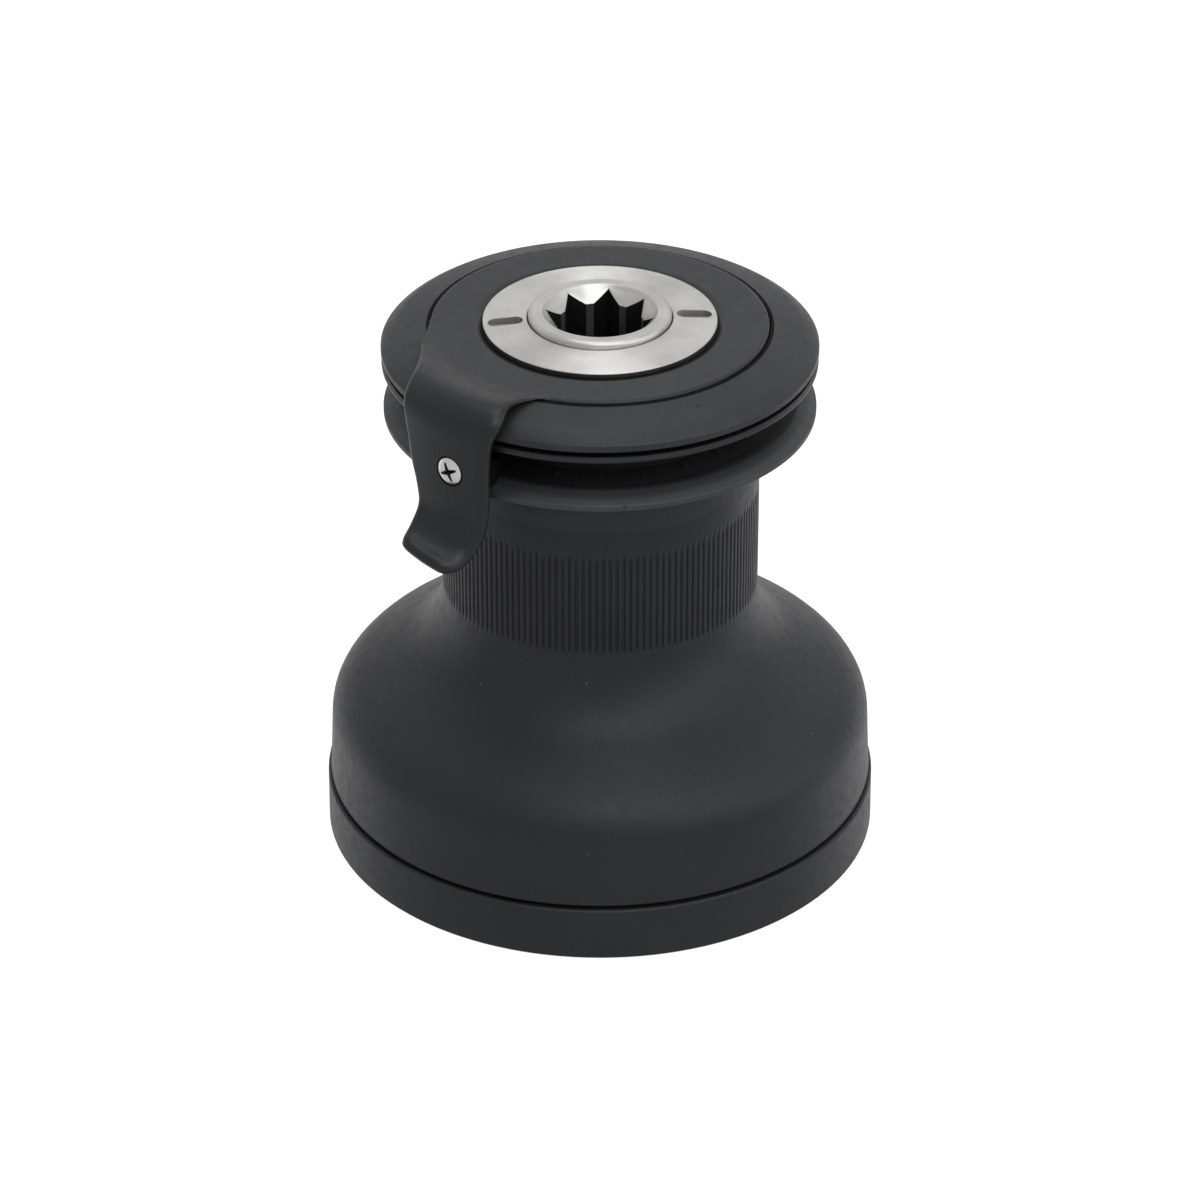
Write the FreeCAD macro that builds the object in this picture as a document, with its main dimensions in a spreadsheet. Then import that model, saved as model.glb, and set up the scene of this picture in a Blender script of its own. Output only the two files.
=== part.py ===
import FreeCAD, Part
import Sketcher
import math
import os

# Two-speed self-tailing sailing winch.
# Millimetres, +Z up, origin on the deck plane at the middle of the base.

V = FreeCAD.Vector
doc = FreeCAD.newDocument("winch")
sheet = doc.addObject("Spreadsheet::Sheet", "dims")
sheet.Label = "dims"

VALUES = {}
ROW = [0]


def dim(alias, value, note=""):
    """One driving dimension: a plain number in its own aliased cell."""
    ROW[0] += 1
    sheet.set("A%d" % ROW[0], alias)
    sheet.set("B%d" % ROW[0], repr(float(value)))
    sheet.set("C%d" % ROW[0], note)
    sheet.setAlias("B%d" % ROW[0], alias)
    VALUES[alias] = float(value)
    return Q(float(value), "dims." + alias)


class Q:
    """A size and the expression over the sheet's cells that gives it."""

    def __init__(self, val, ex):
        self.v = float(val)
        self.x = ex

    @staticmethod
    def of(a):
        return a if isinstance(a, Q) else Q(a, repr(float(a)))

    def __add__(self, o):
        o = Q.of(o)
        return Q(self.v + o.v, "(%s + %s)" % (self.x, o.x))

    __radd__ = __add__

    def __sub__(self, o):
        o = Q.of(o)
        return Q(self.v - o.v, "(%s - %s)" % (self.x, o.x))

    def __rsub__(self, o):
        return Q.of(o) - self

    def __mul__(self, o):
        o = Q.of(o)
        return Q(self.v * o.v, "(%s * %s)" % (self.x, o.x))

    __rmul__ = __mul__

    def __truediv__(self, o):
        o = Q.of(o)
        return Q(self.v / o.v, "(%s / %s)" % (self.x, o.x))

    def __neg__(self):
        return Q(-self.v, "(0 - %s)" % self.x)


# --- driving dimensions -------------------------------------------------
base_r = dim("base_r", 64.3, "outer radius of the base ring")
base_ht = dim("base_ht", 13.0, "top of the base ring")
base_in = dim("base_in", 60.2, "inside radius of the base ring")
floor_t = dim("floor_t", 5.0, "thickness of the floor plate")
boss_r = dim("boss_r", 18.0, "middle boss radius")
boss_top = dim("boss_top", 9.0, "middle boss top")
foot_seat_r = dim("foot_seat_r", 11.0, "seat of the foot bush")
bolt_pcr = dim("bolt_pcr", 52.0, "deck bolt circle radius")
bolt_r = dim("bolt_r", 3.3, "deck bolt clearance radius, M6")

skirt_r = dim("skirt_r", 63.5, "skirt radius at the seam")
skirt_z = dim("skirt_z", 13.6, "bottom edge of the skirt")
neck_r = dim("neck_r", 36.5, "neck radius")
neck_z = dim("neck_z", 64.0, "where the fillet meets the neck")
neck_top = dim("neck_top", 101.0, "top of the neck band")
drum_bore = dim("drum_bore", 31.0, "roller track radius in the drum")
hub_r = dim("hub_r", 34.5, "hub radius under the jaws")
hub_z = dim("hub_z", 114.0, "seat of the upper jaw")
spigot_r = dim("spigot_r", 29.4, "spigot radius in the upper jaw")
spigot_z = dim("spigot_z", 119.0, "top of the spigot")
hub_bore = dim("hub_bore", 26.8, "hub bore over the stem")
ring_seat_r = dim("ring_seat_r", 50.6, "ring gear seat radius")

jaw_r = dim("jaw_r", 49.15, "lower jaw rim radius")
jaw_rim_z = dim("jaw_rim_z", 109.85, "lower jaw rim top")
jaw_low_z = dim("jaw_low_z", 104.5, "lower jaw underside")
jaw_bore = dim("jaw_bore", 34.6, "lower jaw bore")
lip_r = dim("lip_r", 49.35, "upper jaw lip radius")
lip_z = dim("lip_z", 120.15, "upper jaw lip underside")
lip_top = dim("lip_top", 121.8, "upper jaw lip top")
cover_r = dim("cover_r", 49.48, "crown cover radius")
cover_z = dim("cover_z", 123.0, "crown cover lower edge")
cover_in = dim("cover_in", 38.45, "crown cover opening radius")

plate_r = dim("plate_r", 38.0, "arm plate radius")
plate_z = dim("plate_z", 129.55, "arm plate top at its edge")
arm_az = dim("arm_az", -128.0, "direction of the arm, degrees")
arm_face = dim("arm_face", 54.3, "outer radius of the arm's upright face")
arm_t = dim("arm_t", 3.2, "wall of the arm")
lip_cr = dim("lip_cr", 61.5, "radius of the middle of the flare")
lip_cz = dim("lip_cz", 102.8, "height of the middle of the flare")
screw_z = dim("screw_z", 115.0, "height of the stripper screw")
screw_az = dim("screw_az", -127.5, "direction of the stripper screw, degrees")

cap_r = dim("cap_r", 26.45, "retaining cap radius")
cap_z = dim("cap_z", 130.35, "retaining cap top at its edge")
cap_mid = dim("cap_mid", 131.0, "retaining cap top at its bore")
cap_bore = dim("cap_bore", 16.4, "retaining cap bore")
slot_w = dim("slot_w", 3.4, "spanner slot width")
slot_az = dim("slot_az", 5.0, "direction of the spanner slots, degrees")

sp_r = dim("sp_r", 13.9, "spindle journal radius")
sp_ring = dim("sp_ring", 16.2, "spindle top ring radius")
sp_top = dim("sp_top", 132.5, "spindle top")
star_af = dim("star_af", 17.46, "handle socket square, 11/16 inch")
star_az = dim("star_az", 36.0, "direction of a star point, degrees")
star_land = dim("star_land", 9.85, "bore between the star points")
socket_z = dim("socket_z", 98.0, "bottom of the handle socket")

stem_r = dim("stem_r", 25.9, "roller track radius on the stem")
stem_bore = dim("stem_bore", 16.0, "stem bore")
bridge_r = dim("bridge_r", 41.5, "bridge plate radius")
bridge_z = dim("bridge_z", 38.6, "bridge plate underside")
bridge_t = dim("bridge_t", 5.0, "bridge plate thickness")
stem_top = dim("stem_top", 123.5, "shoulder under the arm plate")

module_ = dim("gear_module", 1.5, "gear module")
press_ang = dim("press_ang", 25.0, "pressure angle, degrees")
addendum = dim("addendum", 0.8, "addendum in modules")
dedendum = dim("dedendum", 1.05, "dedendum in modules")
thin = dim("tooth_thin", 0.2, "backlash allowance on each tooth")
pin_r = dim("pin_r", 4.0, "gear pin radius")
pin_gap = dim("pin_gap", 0.05, "running clearance on the pins")
az_a = dim("az_a", 70.0, "direction of the idler, degrees")
az_p = dim("az_p", 250.0, "direction of the second-speed shaft, degrees")
low_z0 = dim("low_z0", 13.6, "lower gear level, underside")
low_z1 = dim("low_z1", 24.1, "lower gear level, top")
up_z0 = dim("up_z0", 27.0, "upper gear level, underside")
up_z1 = dim("up_z1", 37.0, "upper gear level, top")
roll_r = dim("roll_r", 2.5, "bearing roller radius")
doc.recompute()


def g(alias):
    """A driving dimension as the sheet holds it."""
    return float(sheet.get(alias))


# --- construction helpers -----------------------------------------------
PARTS = []


def plane(body, role):
    for o in body.Origin.OriginFeatures:
        if o.Role == role:
            return o
    raise RuntimeError("no " + role)


def new_sketch(body, name, role, offset=None):
    sk = body.newObject("Sketcher::SketchObject", name)
    sk.AttachmentSupport = [(plane(body, role), "")]
    sk.MapMode = "FlatFace"
    if offset is not None:
        sk.AttachmentOffset = offset
    return sk


def arc_mid(p0, p1, radius, side):
    """Centre of the arc of this radius from p0 to p1; side +1 has it on the left."""
    dx, dy = p1[0] - p0[0], p1[1] - p0[1]
    ch = math.hypot(dx, dy)
    hgt = math.sqrt(max(radius * radius - ch * ch / 4.0, 0.0))
    mx, my = (p0[0] + p1[0]) / 2.0, (p0[1] + p1[1]) / 2.0
    return (mx - side * dy / ch * hgt, my + side * dx / ch * hgt)


def profile_sketch(sk, pts):
    """Closed outline. Each entry is (x, y) or (x, y, radius, side): the last two
    describe the arc that runs on to the next point."""
    n = len(pts)
    P = [(Q.of(p[0]), Q.of(p[1])) for p in pts]
    for i, p in enumerate(pts):
        a, b = P[i], P[(i + 1) % n]
        p0, p1 = (a[0].v, a[1].v), (b[0].v, b[1].v)
        if len(p) == 4:
            rad = Q.of(p[2])
            c = arc_mid(p0, p1, rad.v, p[3])
            a0 = math.atan2(p0[1] - c[1], p0[0] - c[0])
            a1 = math.atan2(p1[1] - c[1], p1[0] - c[0])
            circle = Part.Circle(V(c[0], c[1], 0), V(0, 0, 1), rad.v)
            if p[3] > 0:
                while a1 < a0:
                    a1 += 2 * math.pi
                sk.addGeometry(Part.ArcOfCircle(circle, a0, a1), False)
            else:
                while a0 < a1:
                    a0 += 2 * math.pi
                sk.addGeometry(Part.ArcOfCircle(circle, a1, a0), False)
        else:
            sk.addGeometry(Part.LineSegment(V(p0[0], p0[1], 0), V(p1[0], p1[1], 0)), False)

    def ends(i):
        """Vertex numbers of edge i's start and end."""
        if len(pts[i]) == 4 and pts[i][3] < 0:
            return 2, 1
        return 1, 2

    for i in range(n):
        j = (i + 1) % n
        sk.addConstraint(Sketcher.Constraint("Coincident", i, ends(i)[1], j, ends(j)[0]))
    for i in range(n):
        s = ends(i)[0]
        for k, kind in ((0, "DistanceX"), (1, "DistanceY")):
            q = P[i][k]
            if abs(q.v) < 1e-9:
                sk.addConstraint(Sketcher.Constraint("PointOnObject", i, s, -2 if k == 0 else -1))
                continue
            c = sk.addConstraint(Sketcher.Constraint(kind, -1, 1, i, s, q.v))
            sk.setExpression("Constraints[%d]" % c, q.x)
        if len(pts[i]) == 4:
            rad = Q.of(pts[i][2])
            c = sk.addConstraint(Sketcher.Constraint("Radius", i, rad.v))
            sk.setExpression("Constraints[%d]" % c, rad.x)


def turned(label, pts, place=None, angle=None):
    """A body turned about its own vertical axis from an outline of (radius, height)."""
    body = doc.addObject("PartDesign::Body", label)
    body.Label = label
    sk = new_sketch(body, label + "_outline", "XZ_Plane")
    profile_sketch(sk, pts)
    rev = body.newObject("PartDesign::Revolution", label + "_turn")
    rev.Profile = sk
    rev.ReferenceAxis = (sk, ["V_Axis"])
    rev.Angle = 360.0 if angle is None else angle
    body.Tip = rev
    if place is not None:
        body.Placement = place
    return body


def circle_sketch(sk, places):
    """Circles (x, y, r), every size bound to the sheet."""
    for i, (x, y, r) in enumerate(places):
        x, y, r = Q.of(x), Q.of(y), Q.of(r)
        sk.addGeometry(Part.Circle(V(x.v, y.v, 0), V(0, 0, 1), r.v), False)
        for k, (kind, q) in enumerate((("DistanceX", x), ("DistanceY", y))):
            if abs(q.v) < 1e-9:
                sk.addConstraint(Sketcher.Constraint("PointOnObject", i, 3, -2 if k == 0 else -1))
            else:
                c = sk.addConstraint(Sketcher.Constraint(kind, -1, 1, i, 3, q.v))
                sk.setExpression("Constraints[%d]" % c, q.x)
        c = sk.addConstraint(Sketcher.Constraint("Radius", i, r.v))
        sk.setExpression("Constraints[%d]" % c, r.x)


def cut_holes(body, name, places, z_top, depth, count=1):
    """Round pockets from height z_top downwards, optionally repeated round the axis."""
    z_top, depth = Q.of(z_top), Q.of(depth)
    before = volume(body)
    sk = new_sketch(body, name + "_sk", "XY_Plane",
                    FreeCAD.Placement(V(0, 0, z_top.v), FreeCAD.Rotation()))
    sk.setExpression("AttachmentOffset.Base.z", z_top.x)
    circle_sketch(sk, places)
    pk = body.newObject("PartDesign::Pocket", name)
    pk.Profile = sk
    pk.Length = depth.v
    pk.setExpression("Length", depth.x)
    body.Tip = pk
    if count > 1:
        pat = body.newObject("PartDesign::PolarPattern", name + "_ring")
        pat.Originals = [pk]
        pat.Axis = (plane(body, "Z_Axis"), [""])
        pat.Angle = 360.0
        pat.Occurrences = count
        body.Tip = pat
    after = volume(body)
    if not after < before - 1e-3:
        raise RuntimeError("%s cut nothing from %s" % (name, body.Label))
    return pk


def add_block(body, name, pts, z0, height, count=1):
    """A pad from height z0 upwards on a closed outline, repeated round the axis."""
    z0, height = Q.of(z0), Q.of(height)
    before = volume(body)
    sk = new_sketch(body, name + "_sk", "XY_Plane",
                    FreeCAD.Placement(V(0, 0, z0.v), FreeCAD.Rotation()))
    sk.setExpression("AttachmentOffset.Base.z", z0.x)
    profile_sketch(sk, pts)
    pad = body.newObject("PartDesign::Pad", name)
    pad.Profile = sk
    pad.Length = height.v
    pad.setExpression("Length", height.x)
    body.Tip = pad
    if count > 1:
        pat = body.newObject("PartDesign::PolarPattern", name + "_ring")
        pat.Originals = [pad]
        pat.Axis = (plane(body, "Z_Axis"), [""])
        pat.Angle = 360.0
        pat.Occurrences = count
        body.Tip = pat
    after = volume(body)
    if not after > before + 1e-3:
        raise RuntimeError("%s added nothing to %s" % (name, body.Label))
    return pad


def cut_block(body, name, pts, z_top, depth, count=1):
    """A pocket from height z_top downwards on a closed outline."""
    z_top, depth = Q.of(z_top), Q.of(depth)
    before = volume(body)
    sk = new_sketch(body, name + "_sk", "XY_Plane",
                    FreeCAD.Placement(V(0, 0, z_top.v), FreeCAD.Rotation()))
    sk.setExpression("AttachmentOffset.Base.z", z_top.x)
    profile_sketch(sk, pts)
    pk = body.newObject("PartDesign::Pocket", name)
    pk.Profile = sk
    pk.Length = depth.v
    pk.setExpression("Length", depth.x)
    body.Tip = pk
    if count > 1:
        pat = body.newObject("PartDesign::PolarPattern", name + "_ring")
        pat.Originals = [pk]
        pat.Axis = (plane(body, "Z_Axis"), [""])
        pat.Angle = 360.0
        pat.Occurrences = count
        body.Tip = pat
    after = volume(body)
    if not after < before - 1e-3:
        raise RuntimeError("%s cut nothing from %s" % (name, body.Label))
    return pk


def volume(body):
    doc.recompute()
    return body.Shape.Volume


def cyl(name, r, hgt, x=0, y=0, z=0):
    r, hgt, x, y, z = (Q.of(a) for a in (r, hgt, x, y, z))
    o = doc.addObject("Part::Cylinder", name)
    o.setExpression("Radius", r.x)
    o.setExpression("Height", hgt.x)
    o.Placement = FreeCAD.Placement(V(x.v, y.v, z.v), FreeCAD.Rotation())
    o.setExpression("Placement.Base.x", x.x)
    o.setExpression("Placement.Base.y", y.x)
    o.setExpression("Placement.Base.z", z.x)
    return o


def feature(label, shape, place=None):
    o = doc.addObject("Part::Feature", label)
    o.Label = label
    o.Shape = shape
    if place is not None:
        o.Placement = place
    return o


def keep(obj):
    PARTS.append(obj)
    return obj


def polar(r, deg):
    return V(r * math.cos(math.radians(deg)), r * math.sin(math.radians(deg)), 0)


def polar_q(r, deg):
    """Polar position as two bound sizes."""
    r, deg = Q.of(r), Q.of(deg)
    a = math.radians(deg.v)
    return (Q(r.v * math.cos(a), "(%s * cos(%s * 1 deg))" % (r.x, deg.x)),
            Q(r.v * math.sin(a), "(%s * sin(%s * 1 deg))" % (r.x, deg.x)))


def face_of(points):
    w = Part.makePolygon([V(x, y, 0) for x, y in points] + [V(points[0][0], points[0][1], 0)])
    return Part.Face(w)


def prism(points, z0, z1):
    f = face_of(points)
    f.translate(V(0, 0, z0))
    return f.extrude(V(0, 0, z1 - z0))


# --- gear geometry --------------------------------------------------------
MOD, PA = g("gear_module"), math.radians(g("press_ang"))
HA, HF, TH = g("addendum"), g("dedendum"), g("tooth_thin")


def inv(a):
    return math.tan(a) - a


def tooth_outline(count, phase, ha, hf, cut, steps=4):
    """Involute outline of an outside gear, tooth middle at angle phase."""
    rp = MOD * count / 2.0
    rb = rp * math.cos(PA)
    ra, rf = rp + ha * MOD, rp - hf * MOD
    s = math.pi * MOD / 2.0 - cut

    def half(r):
        return s / (2 * rp) + inv(PA) - inv(math.acos(min(1.0, rb / r)))

    lo = max(rb, rf)
    flank = [(lo + (ra - lo) * i / (steps - 1)) for i in range(steps)]
    flank = [(r, half(r)) for r in flank]
    if rf < rb:
        flank = [(rf, half(rb))] + flank
    out = []
    for k in range(count):
        c = phase + 2 * math.pi * k / count
        out += [(r * math.cos(c - t), r * math.sin(c - t)) for r, t in flank]
        out += [(r * math.cos(c + t), r * math.sin(c + t)) for r, t in reversed(flank)]
    return out


N_RING, N_SUN, N_PIN, N_C = 60, 26, 12, 22
OA = MOD * (N_SUN + N_PIN) / 2.0
OB = MOD * (N_RING - N_PIN) / 2.0
AB = MOD * N_PIN
OC = MOD * (N_SUN + N_C) / 2.0
dA = math.radians(g("az_a"))
dB = dA + math.acos((OA * OA + OB * OB - AB * AB) / (2 * OA * OB))
dP = math.radians(g("az_p"))
A0 = (OA * math.cos(dA), OA * math.sin(dA))
B0 = (OB * math.cos(dB), OB * math.sin(dB))
P0 = (OB * math.cos(dP), OB * math.sin(dP))


def pitch(n):
    return 2 * math.pi / n


def frac(x):
    return x - math.floor(x)


# Tooth phases that put every pair in mesh: ring space middle at angle 0.
PH_B = dB + frac(-dB / pitch(N_RING)) * pitch(N_PIN)
PH_P = dP + frac(-dP / pitch(N_RING)) * pitch(N_PIN)
_g = math.atan2(A0[1] - B0[1], A0[0] - B0[0])
PH_A = _g + math.pi - frac((PH_B - _g) / pitch(N_PIN)) * pitch(N_PIN) + pitch(N_PIN) / 2
_g = math.atan2(-A0[1], -A0[0])
PH_S1 = _g + math.pi - frac((PH_A - _g) / pitch(N_PIN)) * pitch(N_SUN) + pitch(N_SUN) / 2
PH_C = 0.0
_g = math.atan2(-P0[1], -P0[0])
PH_S2 = _g + math.pi - frac((PH_C - _g) / pitch(N_C)) * pitch(N_SUN) + pitch(N_SUN) / 2


def ratchet_outline(crest, depth, count, phase, lean):
    """Inside ratchet: notches with a steep face and a long ramp, opening inwards.
    The steep face of notch k starts at angle phase + k * 360 / count in the
    bottom of the notch and leans forward by the angle lean up to the crest."""
    out = []
    step = 2 * math.pi / count
    for k in range(count):
        a = phase + k * step
        seq = [(crest, a - 0.58 * step), (depth, a - 0.20 * step), (depth, a), (crest, a + lean),
               (crest, a + 0.5 * (lean + 0.42 * step))]
        out += [(r * math.cos(t), r * math.sin(t)) for r, t in seq]
    return out


def mirrored(points):
    return [(x, -y) for x, y in points]


# ======================= fixed pieces =====================================
# Base: floor plate, middle boss and outer ring.
base = turned("base", [
    (foot_seat_r, 0), (base_r - 0.5, 0), (base_r, 0.5), (base_r - 0.1, base_ht - 0.4),
    (base_r - 0.5, base_ht), (base_in, base_ht), (base_in, floor_t), (boss_r, floor_t),
    (boss_r, boss_top), (foot_seat_r, boss_top)])
cut_holes(base, "deck_hole", [polar_q(bolt_pcr, 18.0) + (bolt_r,)], floor_t + 1, floor_t + 2, 5)
LEG_AZ = (15.0, 165.0, 315.0)
leg_mid = dim("leg_mid", 36.2, "radius of the leg screws")
leg_screw = dim("leg_screw", 2.5, "leg screw radius")
cut_holes(base, "pin_seat", [
    (Q.of(A0[0]), Q.of(A0[1]), pin_r), (Q.of(B0[0]), Q.of(B0[1]), pin_r),
    (Q.of(P0[0]), Q.of(P0[1]), pin_r)], floor_t + 1, floor_t)
cut_holes(base, "leg_hole", [polar_q(leg_mid, a) + (leg_screw + 0.1,) for a in LEG_AZ],
          floor_t + 1, floor_t + 2)
cut_holes(base, "leg_head", [polar_q(leg_mid, a) + (leg_screw + 2.2,) for a in LEG_AZ],
          Q.of(3.0), Q.of(4.0))
keep(base)

# Foot bush that carries the spindle's lower end.
foot_in = dim("foot_in", 8.05, "foot bush bore")
keep(turned("foot_bush", [
    (foot_in, 0.8), (foot_seat_r, 0.8), (foot_seat_r, boss_top), (14.0, boss_top),
    (14.0, boss_top + 1.0), (foot_in, boss_top + 1.0)]))

# Stem: bridge plate, tube with two roller tracks, spigot for the arm plate.
shoulder_r = dim("shoulder_r", 28.4, "shoulder under the lower rollers")
shoulder_z = dim("shoulder_z", 57.6, "top of that shoulder")
stem_spigot = dim("stem_spigot", 21.6, "spigot radius inside the arm plate")
stem_spigot_z = dim("stem_spigot_z", 128.4, "top of the stem spigot")
cap_thread = dim("cap_thread", 18.6, "thread radius of the retaining cap")
stem = turned("stem", [
    (stem_bore, bridge_z), (bridge_r, bridge_z), (bridge_r, bridge_z + bridge_t),
    (shoulder_r + 3.0, bridge_z + bridge_t), (shoulder_r, bridge_z + bridge_t + 3.0),
    (shoulder_r, shoulder_z), (stem_r, shoulder_z), (stem_r, stem_top),
    (stem_spigot, stem_top), (stem_spigot, stem_spigot_z), (cap_thread, stem_spigot_z),
    (cap_thread, Q.of(119.0)), (stem_bore, Q.of(119.0))])
leg_in = dim("leg_in", 31.5, "leg inner radius")
leg_out = dim("leg_out", 41.0, "leg outer radius")
for i, a in enumerate(LEG_AZ):
    c1, c2 = polar_q(leg_in, a - 12), polar_q(leg_out, a - 12)
    c3, c4 = polar_q(leg_out, a + 12), polar_q(leg_in, a + 12)
    add_block(stem, "leg_%d" % i, [c1, (c2[0], c2[1], leg_out, 1), c3, (c4[0], c4[1], leg_in, -1)],
              floor_t, bridge_z - floor_t + 1.0)
cut_holes(stem, "stem_pin_seat", [
    (Q.of(A0[0]), Q.of(A0[1]), pin_r), (Q.of(B0[0]), Q.of(B0[1]), pin_r),
    (Q.of(P0[0]), Q.of(P0[1]), pin_r)], bridge_z + bridge_t - 1.2, bridge_t + 1)
cut_holes(stem, "stem_tap", [polar_q(leg_mid, a) + (leg_screw,) for a in LEG_AZ],
          floor_t + 13.0, Q.of(14.0))
# Two driving flats on the spigot stop the arm plate from turning.
flat_x = dim("flat_x", 20.2, "half width across the spigot's flats")
cut_block(stem, "spigot_flat_a", [(flat_x, -12.0), (24.0, -12.0), (24.0, 12.0), (flat_x, 12.0)],
          stem_spigot_z + 1, stem_spigot_z - stem_top + 1)
cut_block(stem, "spigot_flat_b", [(-24.0, -12.0), (-flat_x, -12.0), (-flat_x, 12.0), (-24.0, 12.0)],
          stem_spigot_z + 1, stem_spigot_z - stem_top + 1)
keep(stem)

# Screws from under the floor into the three legs.
sc = []
for a in LEG_AZ:
    p = polar(g("leg_mid"), a)
    s = Part.makeCylinder(g("leg_screw") + 2.0, 2.8, p + V(0, 0, 0.2))
    s = s.fuse(Part.makeCylinder(g("leg_screw"), 13.6, p + V(0, 0, 3.0)))
    hexa = [(p.x + 2.3 * math.cos(k * math.pi / 3), p.y + 2.3 * math.sin(k * math.pi / 3)) for k in range(6)]
    sc.append(s.cut(prism(hexa, -1.0, 1.9)))
keep(feature("stem_screws", Part.makeCompound(sc)))

# Two bushes in the stem for the spindle.
bush = []
for z0, z1 in ((40.0, 54.0), (104.0, 118.0)):
    b = Part.makeCylinder(g("stem_bore"), z1 - z0, V(0, 0, z0))
    bush.append(b.cut(Part.makeCylinder(g("sp_r") + 0.05, z1 - z0 + 2, V(0, 0, z0 - 1))))
keep(feature("spindle_bushes", Part.makeCompound(bush)))

# Gear pins between base and bridge plate.
pin_len = dim("pin_len", 41.2, "gear pin length")
keep(cyl("idler_pin", pin_r, pin_len, A0[0], A0[1], 1.0)).Label = "idler_pin"
keep(cyl("pinion_pin", pin_r, pin_len, B0[0], B0[1], 1.0)).Label = "pinion_pin"
keep(cyl("second_shaft", pin_r, pin_len, P0[0], P0[1], 1.0)).Label = "second_shaft"

# Spacers and washers that hold the gears at their levels.
sp = []
for c, z0, z1 in ((A0, 5.0, 26.8), (B0, 5.0, 26.8), (P0, 5.0, 12.3)):
    o = Part.makeCylinder(6.5, z1 - z0, V(c[0], c[1], z0))
    sp.append(o.cut(Part.makeCylinder(g("pin_r") + 0.02, z1 - z0 + 2, V(c[0], c[1], z0 - 1))))
keep(feature("gear_spacers", Part.makeCompound(sp)))
ws = []
for c, ri, ro, z0, z1 in ((A0, 4.1, 8.0, 37.3, 38.4), (B0, 4.1, 8.0, 37.3, 38.4),
                          (P0, 4.1, 8.0, 37.3, 38.4), (P0, 4.1, 13.4, 12.35, 13.4),
                          ((0.0, 0.0), 14.1, 19.0, 37.3, 38.4)):
    o = Part.makeCylinder(ro, z1 - z0, V(c[0], c[1], z0))
    ws.append(o.cut(Part.makeCylinder(ri, z1 - z0 + 2, V(c[0], c[1], z0 - 1))))
keep(feature("thrust_washers", Part.makeCompound(ws)))

# Tube that keeps the two roller cages apart.
keep(turned("bearing_spacer", [
    (26.2, 69.7), (30.5, 69.7), (30.5, 82.9), (26.2, 82.9)]))

# ======================= drum and crown ===================================
drum = turned("drum", [
    (Q.of(57.0), 9.5), (Q.of(59.6), 9.5), (Q.of(59.6), skirt_z), (skirt_r - 0.5, skirt_z),
    (skirt_r, skirt_z + 0.5), (62.79, 28.85, 11.3, 1), (59.49, 36.25, 35.0, 1), (53.8, 40.85),
    (46.52, 45.55, 22.0, -1), (neck_r, neck_z), (neck_r, neck_top), (hub_r, neck_top),
    (hub_r, hub_z), (spigot_r, hub_z), (spigot_r, spigot_z), (hub_bore, spigot_z),
    (hub_bore, 95.0), (drum_bore, 95.0), (drum_bore, 58.0), (34.62, 54.73, 25.5, 1),
    (44.61, 42.61), (48.5, 40.0), (48.5, 37.2), (ring_seat_r, 37.2), (ring_seat_r, 26.2),
    (Q.of(57.0), 23.5)])
# Six keyways in the hub drive the lower jaw and let it slide.
key_w = dim("key_w", 4.0, "jaw key width")
cut_block(drum, "jaw_keyway", [
    (Q.of(33.1), -(key_w / 2) - 0.12), (Q.of(36.0), -(key_w / 2) - 0.12),
    (Q.of(36.0), key_w / 2 + 0.12), (Q.of(33.1), key_w / 2 + 0.12)], hub_z + 1, hub_z - neck_top + 1 - 0.02, 6)
crown_screw_r = dim("crown_screw_r", 1.5, "crown screw radius")
crown_screw_c = dim("crown_screw_c", 32.0, "crown screw circle radius")
cut_holes(drum, "crown_tap", [polar_q(crown_screw_c, 30.0) + (crown_screw_r,)],
          hub_z + 0.5, Q.of(9.0), 6)
keep(drum)

# Ring gear fixed in the drum.
ring_out = Part.makeCylinder(g("ring_seat_r"), 10.2, V(0, 0, 26.8))
ring_cut = prism(tooth_outline(N_RING, 0.0, HF, HA, -TH), 26.0, 38.0)
keep(feature("ring_gear", ring_out.cut(ring_cut)))

# Lower jaw: slides on the hub, with driving keys and gripping ribs.
lower = turned("lower_jaw", [
    (jaw_bore, jaw_low_z), (38.5, jaw_low_z), (jaw_r - 0.75, jaw_rim_z - 1.6),
    (jaw_r, jaw_rim_z - 1.25), (jaw_r, jaw_rim_z - 0.35), (jaw_r - 0.45, jaw_rim_z),
    (jaw_bore, jaw_rim_z + 0.75)])
add_block(lower, "jaw_key", [
    (Q.of(33.3), -(key_w / 2)), (Q.of(35.2), -(key_w / 2)), (Q.of(35.2), key_w / 2), (Q.of(33.3), key_w / 2)],
    jaw_low_z, jaw_rim_z + 0.5 - jaw_low_z, 6)
RIBS = 24
add_block(lower, "jaw_rib", [(35.4, -0.6), (39.8, -0.6), (39.8, 0.6), (35.4, 0.6)],
          jaw_rim_z - 1.0, Q.of(2.2), RIBS)
keep(lower)

# Wave spring that lifts the lower jaw.
secs = []
for k in range(48):
    a = 2 * math.pi * k / 48
    zc = 102.72 + 1.3 * math.cos(3 * a)
    q = []
    for r, dz in ((34.75, -0.25), (36.3, -0.25), (36.3, 0.25), (34.75, 0.25)):
        q.append(V(r * math.cos(a), r * math.sin(a), zc + dz))
    secs.append(Part.makePolygon(q + [q[0]]))
wave = Part.makeLoft(secs + [secs[0]], True, True, False)
keep(feature("jaw_spring", wave))

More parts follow.
